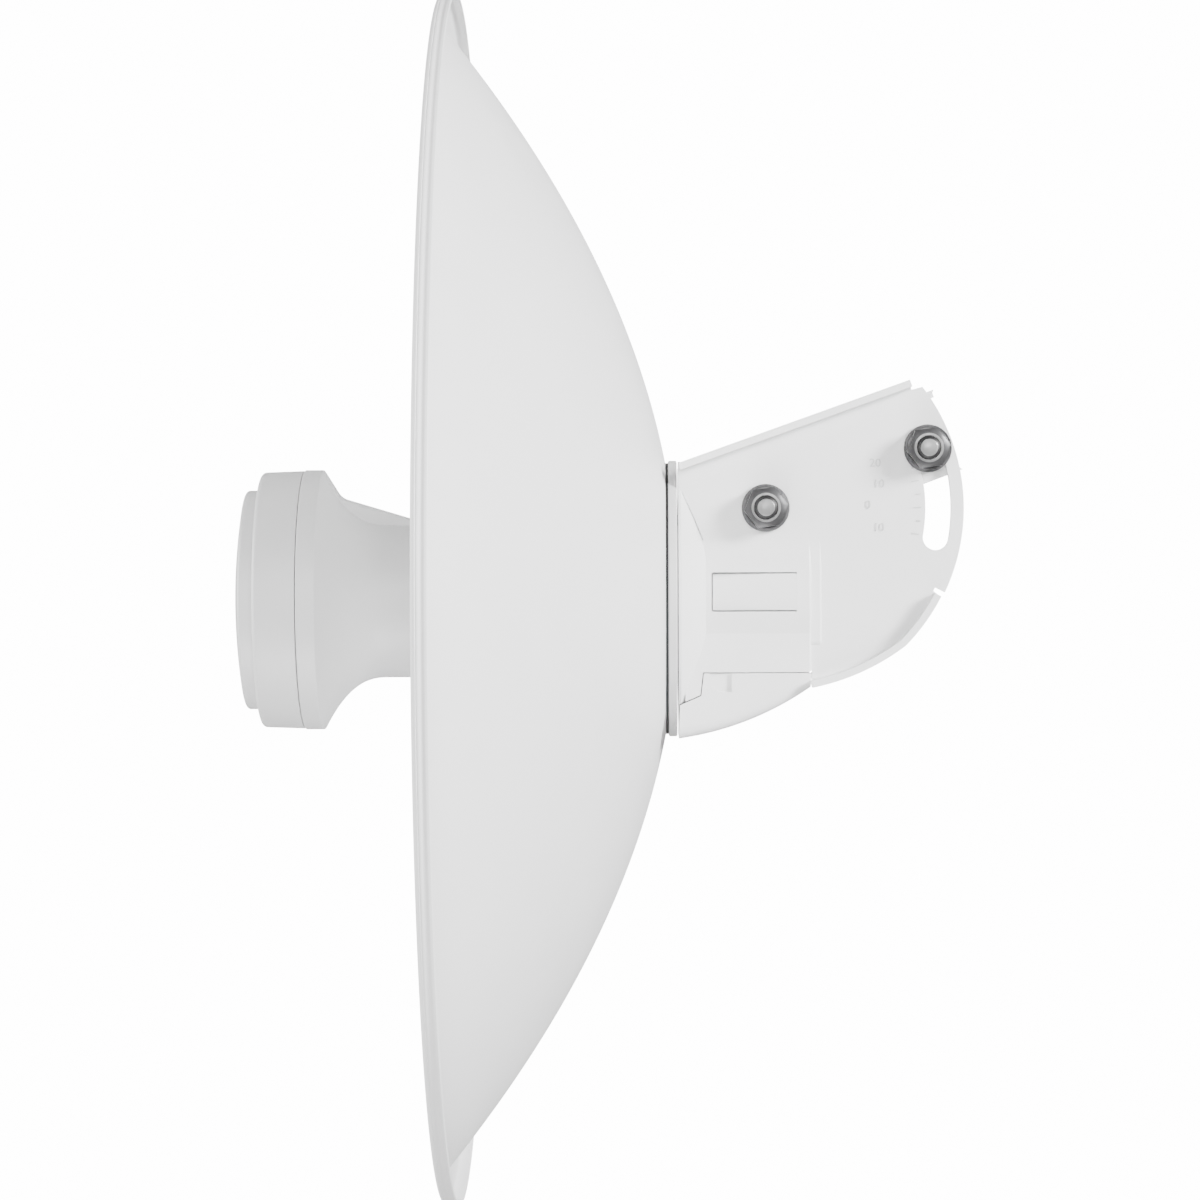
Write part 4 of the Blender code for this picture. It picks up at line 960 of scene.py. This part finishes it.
def raised_number(text, y, z):
    """Mesh of one number that stands out of the +X arm's face."""
    curve = bpy.data.curves.new("number", "FONT")
    curve.body = text
    curve.size = SCALE_TEXT_SIZE
    curve.align_x = "CENTER"
    curve.align_y = "CENTER"
    curve.extrude = SCALE_RELIEF
    curve.resolution_u = 4
    holder = linked("number", curve)
    mesh = shown_mesh(holder)
    mesh.transform(Matrix(((0, 0, 1, ARM_OUTER_X), (1, 0, 0, y), (0, 1, 0, z), (0, 0, 0, 1))))
    bpy.data.objects.remove(holder, do_unlink=True)
    bpy.data.curves.remove(curve)
    return mesh


def tilt_scale():
    """Raised degree numbers and tick marks beside the slot on the +X arm, in a darker grey that is painted
    shade for their relief.
    """
    bm = bmesh.new()
    for text, (y, z) in SCALE_NUMBERS:
        bm.from_mesh(raised_number(text, y, z))
    pivot = Matrix.Translation((ARM_OUTER_X, PIVOT_Y, PIVOT_Z))
    for degrees in SCALE_TICKS:
        inner = LONG_TICK_RADIUS if degrees % 10 == 0 else SHORT_TICK_RADIUS
        turn = pivot @ Matrix.Rotation(math.radians(degrees), 4, "X")
        size = Matrix.Diagonal((2 * SCALE_RELIEF, TICK_OUTER_RADIUS - inner, TICK_WIDTH, 1))
        middle = Matrix.Translation((0, (inner + TICK_OUTER_RADIUS) / 2, 0))
        bmesh.ops.create_cube(bm, size=1, matrix=turn @ middle @ size)
    finish(new_object("tilt_scale", bm), SCALE_MARKS_PAINTED_SHADE, "head")


# ---- port cover

def cover_side_view(inset):
    """Side outline of the cover, drawn in by a wall thickness where that is given."""
    front = (COVER_FRONT[0] + inset, COVER_FRONT[1] + inset)
    rear = (COVER_REAR[0] - inset, COVER_REAR[1] + inset)
    belly = arc_through(front, rear, COVER_ARC_RADIUS, COVER_BELLY_STEPS)
    step, knee, foot = [(y + GAP + inset, z - GAP) for y, z in SEAM_STEP]
    top_z = step[1] + (0 if inset == 0 else 10 * MM)
    return belly + [(rear[0], top_z), (step[0], top_z), (knee[0], knee[1] + inset * 0.5), foot]


def belly_point(y):
    """A point of the cover's lower outline and the outward direction there, both as (y, z)."""
    centre = arc_centre(COVER_FRONT, COVER_REAR, COVER_ARC_RADIUS)
    z = centre.y - math.sqrt(COVER_ARC_RADIUS**2 - (y - centre.x) ** 2)
    return Vector((y, z)), (Vector((y, z)) - centre).normalized()


def grommet_place():
    point, outward = belly_point(GROMMET_Y)
    lean = Matrix.Rotation(math.atan2(outward.y, outward.x), 4, "X")
    return Matrix.Translation((0, point.x, point.y)) @ lean


def scoop(name, inset):
    """The cover's outer form, or its hollow where it is drawn in by the wall, with rounded lower edges."""
    outline = cover_side_view(inset)
    half = COVER_HALF_WIDTH - inset
    bm = extruded(outline, -half, half, "X")
    belly = {(round(y, 6), round(z, 6)) for y, z in outline[:COVER_BELLY_STEPS + 1]}
    lower_edges = [
        e for e in bm.edges
        if all((round(v.co.y, 6), round(v.co.z, 6)) in belly for v in e.verts)
        and abs(e.verts[0].co.x - e.verts[1].co.x) < MM
    ]
    bmesh.ops.bevel(bm, geom=lower_edges, offset=COVER_EDGE_ROUNDING - inset, segments=10, profile=0.5,
                    affect="EDGES", material=-1, clamp_overlap=True)
    return new_object(name, bm)


def cover():
    """Scoop under the housing: flat sides with a latch recess each, rounded lower edges, open top."""
    shell = subtract(scoop("cover_shell", 0), scoop("hollow", COVER_WALL))
    drill = rod("drill", GROMMET_HOLE_RADIUS, -6 * MM, 6 * MM)
    drill.data.transform(grommet_place())
    subtract(shell, drill)
    front, rear = LATCH_RECESS_Y
    latch = rectangle(front, SEAM_Z + MM, rear, LATCH_BOTTOM_Z)
    for side in (-1, 1):
        depths = sorted([side * (COVER_HALF_WIDTH - LATCH_DEPTH), side * (COVER_HALF_WIDTH + MM)])
        subtract(shell, prism("latch", filleted(latch, [0, 0, 0.4 * MM, 4.5 * MM]), *depths))
    finish(shell, HOUSING_PLASTIC, "port_cover", edge=0.3 * MM, segments=2,
           replaced="port_cover")


def grommet():
    """Stepped rubber ring around the cable's bore."""
    flange = GROMMET_HOLE_RADIUS + 1.6 * MM
    neck = GROMMET_HOLE_RADIUS - GAP
    step = -COVER_WALL - 1.6 * MM
    corners = [(CABLE_BORE_RADIUS, -0.4 * MM), (neck, -0.4 * MM), (neck, step), (flange, step),
               (flange, step - 1.6 * MM), (CABLE_BORE_RADIUS, step - 1.6 * MM)]
    radii = [0.5 * MM, 0.6 * MM, 0, 0.4 * MM, 0.4 * MM, 0.5 * MM]
    finish(lathe("rubber_grommet", filleted(corners, radii), steps=64), RUBBER, "port_cover",
           place=HEAD_PLACE @ grommet_place(), replaced="cable_grommet")


# ---- feed

def feed_cap():
    """Shallow domed disc with a rounded edge."""
    rear_y = DRUM_FRONT_Y - GAP
    dome = [
        (CAP_RADIUS * (1 - i / 24), CAP_APEX_Y + (CAP_EDGE_Y - CAP_APEX_Y) * (1 - i / 24) ** 2)
        for i in range(1, 25)
    ]
    corners = [(0, rear_y), (CAP_RADIUS, rear_y), (CAP_RADIUS, CAP_EDGE_Y)] + dome
    radii = [0, 0.5 * MM, 1.2 * MM] + [0] * len(dome)
    finish(lathe("feed_cap", filleted(corners, radii, closed=False), closed=False), FEED_PLASTIC_PAINTED_SHADE, "feed",
           replaced="feed_front_cap")


def feed_front():
    """Front half of the drum, a cup that opens to the rear, with a fine groove at the seam."""
    seam_radius = DRUM_REAR_RADIUS - 0.3 * MM
    rear_y = DRUM_SEAM_Y - GAP
    corners = [
        (0, DRUM_FRONT_Y), (DRUM_FRONT_RADIUS, DRUM_FRONT_Y), (seam_radius, rear_y),
        (seam_radius - FEED_WALL, rear_y), (DRUM_FRONT_RADIUS - FEED_WALL, DRUM_FRONT_Y + FEED_WALL),
        (0, DRUM_FRONT_Y + FEED_WALL),
    ]
    radii = [0, 1.6 * MM, 0.35 * MM, 0.2 * MM, 0.8 * MM, 0]
    finish(lathe("feed_front", filleted(corners, radii, closed=False), closed=False), FEED_PLASTIC_PAINTED_SHADE, "feed",
           replaced="feed_front_shell")


def flare_curve(inset, steps=28):
    """Concave sweep from the drum's rear edge down to the neck, as (radius, y)."""
    points = []
    for i in range(steps + 1):
        share = i / steps
        y = DRUM_REAR_Y + (FLARE_END_Y - DRUM_REAR_Y) * share
        radius = NECK_RADIUS + (DRUM_REAR_RADIUS - NECK_RADIUS) * (1 - share) ** FLARE_SWEEP
        points.append((radius - inset, y - inset * (1 - share)))
    return points


def feed_rear():
    """Rear half of the drum, the flared neck that runs through the hub, and the plug behind it."""
    curve = flare_curve(0)
    outer = [(0, DRUM_SEAM_Y), (DRUM_REAR_RADIUS, DRUM_SEAM_Y)] + curve + [(NECK_RADIUS, NECK_REAR_Y),
                                                                         (0, NECK_REAR_Y)]
    radii = [0, 0.35 * MM, 0.5 * MM] + [0] * (len(curve) - 1) + [1.2 * MM, 0]
    shell = lathe("feed_rear", filleted(outer, radii, closed=False), closed=False)
    ridge_outline = [
        (DRUM_REAR_Y - 4 * MM, 20 * MM), (DRUM_REAR_Y - 4 * MM, 43 * MM), (DRUM_REAR_Y + 0.2 * MM, 44.6 * MM),
        RIDGE_KNEE, (RIDGE_END_Y, NECK_RADIUS - 0.3 * MM), (RIDGE_END_Y, 20 * MM),
    ]
    ridge = prism("ridge", filleted(ridge_outline, [0, 0, 0, 6 * MM, 0, 0]),
                  -RIDGE_HALF_WIDTH, RIDGE_HALF_WIDTH)
    bevel_where(ridge, lambda e: all(v.co.z > 22 * MM for v in e.verts) and
                abs(e.verts[0].co.x - e.verts[1].co.x) < MM, 1.6 * MM, 5)
    plug = box("plug", (-PLUG_HALF_WIDTH, NECK_REAR_Y - 2 * MM, PLUG_BOTTOM_Z),
               (PLUG_HALF_WIDTH, PLUG_REAR_Y, PLUG_TOP_Z), rounding=1.2 * MM)
    join(shell, ridge, plug)
    inner = [(0, DRUM_SEAM_Y - 5 * MM), (DRUM_REAR_RADIUS - FEED_WALL, DRUM_SEAM_Y - 5 * MM),
             *flare_curve(FEED_WALL, 8), (NECK_RADIUS - FEED_WALL, NECK_REAR_Y - 4 * MM),
             (0, NECK_REAR_Y - 4 * MM)]
    hollow = lathe("hollow", inner, closed=False, steps=64)
    plug_hollow = box("plug_hollow",
                      (FEED_WALL - PLUG_HALF_WIDTH, NECK_REAR_Y - 8 * MM, PLUG_BOTTOM_Z + FEED_WALL),
                      (PLUG_HALF_WIDTH - FEED_WALL, PLUG_REAR_Y - FEED_WALL, PLUG_TOP_Z - FEED_WALL))
    jack_window = box("jack_window",
                      (-JACK_WIDTH / 2 - GAP, JACK_Y - JACK_LENGTH / 2 - GAP, -25 * MM),
                      (JACK_WIDTH / 2 + GAP, JACK_Y + JACK_LENGTH / 2 + GAP, -12 * MM))
    button_hole = rod("button_hole", BUTTON_RADIUS + GAP, -25 * MM, -12 * MM, (0, BUTTON_Y), "Z", 48)
    subtract(shell, hollow, plug_hollow, jack_window, button_hole)
    finish(shell, FEED_PLASTIC_PAINTED_SHADE, "feed", replaced="feed_rear_shell")


def jack_contacts():
    """Eight sprung contacts that lean across the socket."""
    low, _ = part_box("ethernet_jack")
    lean = Matrix.Rotation(math.radians(24), 4, "X")
    size = Matrix.Diagonal((0.35 * MM, 0.3 * MM, 8 * MM, 1))
    bm = bmesh.new()
    for i in range(8):
        middle = Matrix.Translation(((i - 3.5) * 1.02 * MM, low.y + 4.2 * MM, low.z + 6.5 * MM))
        bmesh.ops.create_cube(bm, size=1, matrix=middle @ lean @ size)
    finish(new_object("jack_contacts", bm), COPPER, "feed", place=Matrix.Identity(4))


# ---- pole bracket

def bracket_wall_outline():
    """Side view of one wall, from the round eye at the pivot to the jaws."""
    eye = arc((0, 0), BRACKET_EYE_RADIUS, 80, 275, 40)
    rear = JAW_FROM_PIVOT - 1.2 * MM
    return [
        *eye,
        (24 * MM, -9.6 * MM),
        (36 * MM, JAW_BOTTOM),
        (JAW_FROM_PIVOT + 0.6 * MM, JAW_BOTTOM),
        (rear, JAW_BOTTOM + 2.4 * MM),
        (rear, JAW_TOP - 2.4 * MM),
        (JAW_FROM_PIVOT + 0.6 * MM, JAW_TOP),
        (34 * MM, JAW_TOP),
    ]


def jaw_outline():
    """Top view of one jaw plate: a wide V, cut into teeth, that takes the pole."""
    half = BRACKET_INNER_X + MM
    teeth = 5
    front = WEB_FROM_PIVOT + MM
    points = [(-half, front), (-half, JAW_FROM_PIVOT)]
    for side in (-1, 1):
        flank = []
        for i in range(teeth):
            outer = half - 2 * MM - (half - 5 * MM) * i / teeth
            inner = half - 2 * MM - (half - 5 * MM) * (i + 1) / teeth
            tooth_y = JAW_FROM_PIVOT - JAW_NOTCH_DEPTH * (i + 1) / teeth
            flank += [(side * outer, tooth_y), (side * (inner + 0.4 * MM), tooth_y)]
        shoulder = [(side * (half - 2 * MM), JAW_FROM_PIVOT)]
        points += shoulder + flank if side < 0 else flank[::-1] + shoulder
    return points + [(half, JAW_FROM_PIVOT), (half, front)]


def bracket():
    """Folded channel: two walls with bolt holes, a slotted web and two toothed jaw plates."""
    outline = bracket_wall_outline()
    walls = [prism("bracket_channel", outline, BRACKET_INNER_X, BRACKET_OUTER_X),
             prism("wall", outline, -BRACKET_OUTER_X, -BRACKET_INNER_X)]
    web = box("web", (-BRACKET_INNER_X - MM, WEB_FROM_PIVOT, JAW_BOTTOM + 0.6 * MM),
              (BRACKET_INNER_X + MM, WEB_FROM_PIVOT + BRACKET_SHEET, JAW_TOP - 0.6 * MM))
    jaws = [prism("jaw", jaw_outline(), z, z + BRACKET_SHEET, "Z")
            for z in (JAW_BOTTOM, JAW_TOP - BRACKET_SHEET)]
    piece = join(walls[0], web, *jaws, walls[1])
    for middle in (-BAND_SLOT_X, BAND_SLOT_X):
        corners = rectangle(middle - 2 * MM, JAW_MIDDLE - BAND_SLOT_HALF_HEIGHT,
                            middle + 2 * MM, JAW_MIDDLE + BAND_SLOT_HALF_HEIGHT)
        slot = prism("band_slot", filleted(corners, [1.9 * MM] * 4), WEB_FROM_PIVOT - 2 * MM,
                     WEB_FROM_PIVOT + 6 * MM, "Y")
        subtract(piece, slot)
    for low_x, distance in ((-40 * MM, 0), (0, SLOT_RADIUS)):
        hole = box("hole", (low_x, distance - SQUARE_HOLE / 2, -SQUARE_HOLE / 2),
                   (40 * MM, distance + SQUARE_HOLE / 2, SQUARE_HOLE / 2))
        subtract(piece, hole)
    finish(piece, POWDER_COAT, "pole_bracket", place=BRACKET_PLACE, edge=0.3 * MM,
           replaced="pole_bracket")


def carriage_bolt(name):
    """Bolt along +X: domed head inside the bracket, square neck, threaded end with a chamfer."""
    under_head = BRACKET_INNER_X - GAP
    dome = [(BOLT_HEAD_RADIUS * math.sin(math.radians(a)),
             under_head - 0.9 * MM - (BOLT_HEAD_HEIGHT - 0.9 * MM) * math.cos(math.radians(a)))
            for a in range(0, 91, 9)]
    thread = []
    x = ARM_INNER_X
    while x + THREAD_PITCH < BOLT_END_X - 0.8 * MM:
        thread += [(BOLT_RADIUS, x), (BOLT_RADIUS, x + 0.2 * THREAD_PITCH),
                   (BOLT_RADIUS - THREAD_DEPTH, x + 0.55 * THREAD_PITCH),
                   (BOLT_RADIUS - THREAD_DEPTH, x + 0.65 * THREAD_PITCH)]
        x += THREAD_PITCH
    end = [(BOLT_RADIUS, x), (BOLT_RADIUS, BOLT_END_X - 0.9 * MM), (BOLT_END_RADIUS, BOLT_END_X - 0.15 * MM),
           (BOLT_END_RADIUS - 0.3 * MM, BOLT_END_X), (0, BOLT_END_X)]
    profile = dome + [(BOLT_HEAD_RADIUS, under_head), (BOLT_RADIUS, under_head)] + thread + end
    bolt = lathe(name, profile, steps=64, closed=False, axis=(1, 0, 0))
    neck = box("neck", (under_head - 0.5 * MM, -BOLT_NECK / 2, -BOLT_NECK / 2),
               (BRACKET_OUTER_X - 0.2 * MM, BOLT_NECK / 2, BOLT_NECK / 2))
    join(bolt, neck)
    # The threaded length outside the arm gets the near-black finish: painted shade for the gap around the
    # bolt inside the nut
    two_tone(bolt, ZINC, THREAD_PAINTED_SHADE,
             lambda p: p.x > ARM_OUTER_X and math.hypot(p.y, p.z) > BOLT_END_RADIUS)
    return bolt


def flange_nut(name):
    """Flange nut: chamfered hexagon on a conical flange; plain zinc on its top face, a darker zinc as painted
    shade on its flanks and flange.
    """
    corner = NUT_ACROSS_FLATS / math.sqrt(3)
    hexagon = [
        (corner * math.cos(NUT_TURN + math.tau * i / 6), corner * math.sin(NUT_TURN + math.tau * i / 6))
        for i in range(6)
    ]
    nut = prism(name, hexagon, NUT_SEAT_X + 0.5 * MM, NUT_TOP_X)
    flat = NUT_ACROSS_FLATS / 2
    crown = lathe("crown", [
        (0, NUT_SEAT_X), (NUT_FLANGE_RADIUS, NUT_SEAT_X), (NUT_FLANGE_RADIUS, NUT_TOP_X - NUT_CHAMFER),
        (NUT_FACE_RADIUS, NUT_TOP_X), (0, NUT_TOP_X),
    ], steps=96, closed=False, axis=(1, 0, 0))
    combine(nut, crown, "INTERSECT")
    flange = lathe("flange", filleted([
        (0, NUT_SEAT_X), (NUT_FLANGE_RADIUS, NUT_SEAT_X), (NUT_FLANGE_RADIUS, NUT_SEAT_X + 1.1 * MM),
        (flat + 0.7 * MM, NUT_SEAT_X + 2.7 * MM), (0, NUT_SEAT_X + 2.9 * MM),
    ], [0, 0.35 * MM, 0.5 * MM, 0.5 * MM, 0], closed=False), steps=96, closed=False, axis=(1, 0, 0))
    join(nut, flange)
    bore_radius = BOLT_RADIUS + 0.12 * MM
    mouth = bore_radius + 0.25 * MM
    bore = lathe("bore", [
        (0, NUT_SEAT_X - MM), (bore_radius, NUT_SEAT_X - MM), (bore_radius, NUT_TOP_X - 0.25 * MM),
        (mouth, NUT_TOP_X), (mouth, NUT_TOP_X + MM), (0, NUT_TOP_X + MM),
    ], steps=64, closed=False, axis=(1, 0, 0))
    subtract(nut, bore)
    # Everything below the top face takes the darker zinc: painted shade
    two_tone(nut, ZINC, SHADED_ZINC, lambda p: p.x < NUT_TOP_X - 0.1 * MM)
    return nut


def fasteners():
    """A carriage bolt and a flange nut at each pivot and in the arc slot."""
    for name, side, distance in (("pivot", "right", 0), ("pivot", "left", 0), ("lock", "right", SLOT_RADIUS)):
        turn = math.pi if side == "left" else 0
        place = BRACKET_PLACE @ Matrix.Translation((0, distance, 0)) @ Matrix.Rotation(turn, 4, "Z")
        finish(carriage_bolt(f"{name}_carriage_bolt_{side}"), ZINC, "pole_bracket", place=place,
               replaced=f"{name}_bolt_{side}")
        finish(flange_nut(f"{name}_flange_nut_{side}"), ZINC, f"{name}_nut_{side}", place=place,
               replaced=f"{name}_nut_{side}")


# ---- stage, light and camera

def studio():
    """A seamless white surround that only the camera sees, a soft sky, and four soft lamps."""
    centre = (cad_low + cad_high) / 2
    floor_z = cad_low.z - SURROUND_DROP
    bend = 1.6
    surround = [
        (0, floor_z),
        *arc((SURROUND_RADIUS - bend, floor_z + bend), bend, -90, 0, 16),
        *arc((0, floor_z + bend), SURROUND_RADIUS, 0, 90, 16),
    ]
    surround[-1] = (0, surround[-1][1])
    backdrop = lathe("floor_and_backdrop", surround, steps=64, closed=False, axis=(0, 0, 1))
    pale = bpy.data.materials.new("pale_surround")
    pale.use_nodes = True
    set_inputs(pale.node_tree.nodes["Principled BSDF"], Base_Color=(0.9, 0.9, 0.9, 1),
               Emission_Color=(1, 1, 1, 1), Emission_Strength=SURROUND_GLOW)
    backdrop.data.materials.append(pale)
    backdrop.data.shade_smooth()
    for ray in ("diffuse", "glossy", "transmission", "shadow"):
        setattr(backdrop, f"visible_{ray}", False)

    world = bpy.context.scene.world or bpy.data.worlds.new("sky")
    bpy.context.scene.world = world
    world.use_nodes = True
    set_inputs(world.node_tree.nodes["Background"], Color=(1, 1, 1, 1), Strength=SKY_STRENGTH)

    for name, direction, distance, size, power in LAMPS:
        lamp = bpy.data.lights.new(name, "AREA")
        lamp.shape = "DISK"
        lamp.size = size
        lamp.energy = power
        holder = linked(name, lamp)
        away = Vector(direction).normalized()
        holder.location = centre + away * distance
        holder.rotation_euler = away.to_track_quat("Z", "Y").to_euler()


def camera():
    """A long lens that looks at the +X side, square to the beam within a degree."""
    sensor, focal_pixels, frame_pixels = 36.0, 3951.6, 1200
    yaw, roll, pitch = -0.0149, -0.0033, -0.0008
    distance, drop = 1383.06 * MM, 0.42 * MM
    aim = Vector((0, -119.35 * MM, VERTEX.z))
    back = Vector((math.cos(yaw) * math.cos(pitch), -math.sin(yaw) * math.cos(pitch), -math.sin(pitch)))
    side = Vector((math.sin(yaw), math.cos(yaw), 0))
    level = back.cross(side)
    right = side * math.cos(roll) + level * math.sin(roll)
    up = level * math.cos(roll) - side * math.sin(roll)
    lens = bpy.data.cameras.new("camera")
    lens.sensor_width = sensor
    lens.lens = sensor * focal_pixels / frame_pixels
    holder = linked("camera", lens)
    turn = Matrix((right, up, back)).transposed().to_4x4()
    holder.matrix_world = Matrix.Translation(aim + back * distance - up * drop) @ turn
    bpy.context.scene.camera = holder


dress_cad_nodes()
dish()
ring()
gasket()
hub_screws()
housing()
release_tabs()
yoke_arms()
tilt_scale()
cover()
grommet()
feed_cap()
feed_front()
feed_rear()
jack_contacts()
bracket()
fasteners()
studio()
camera()
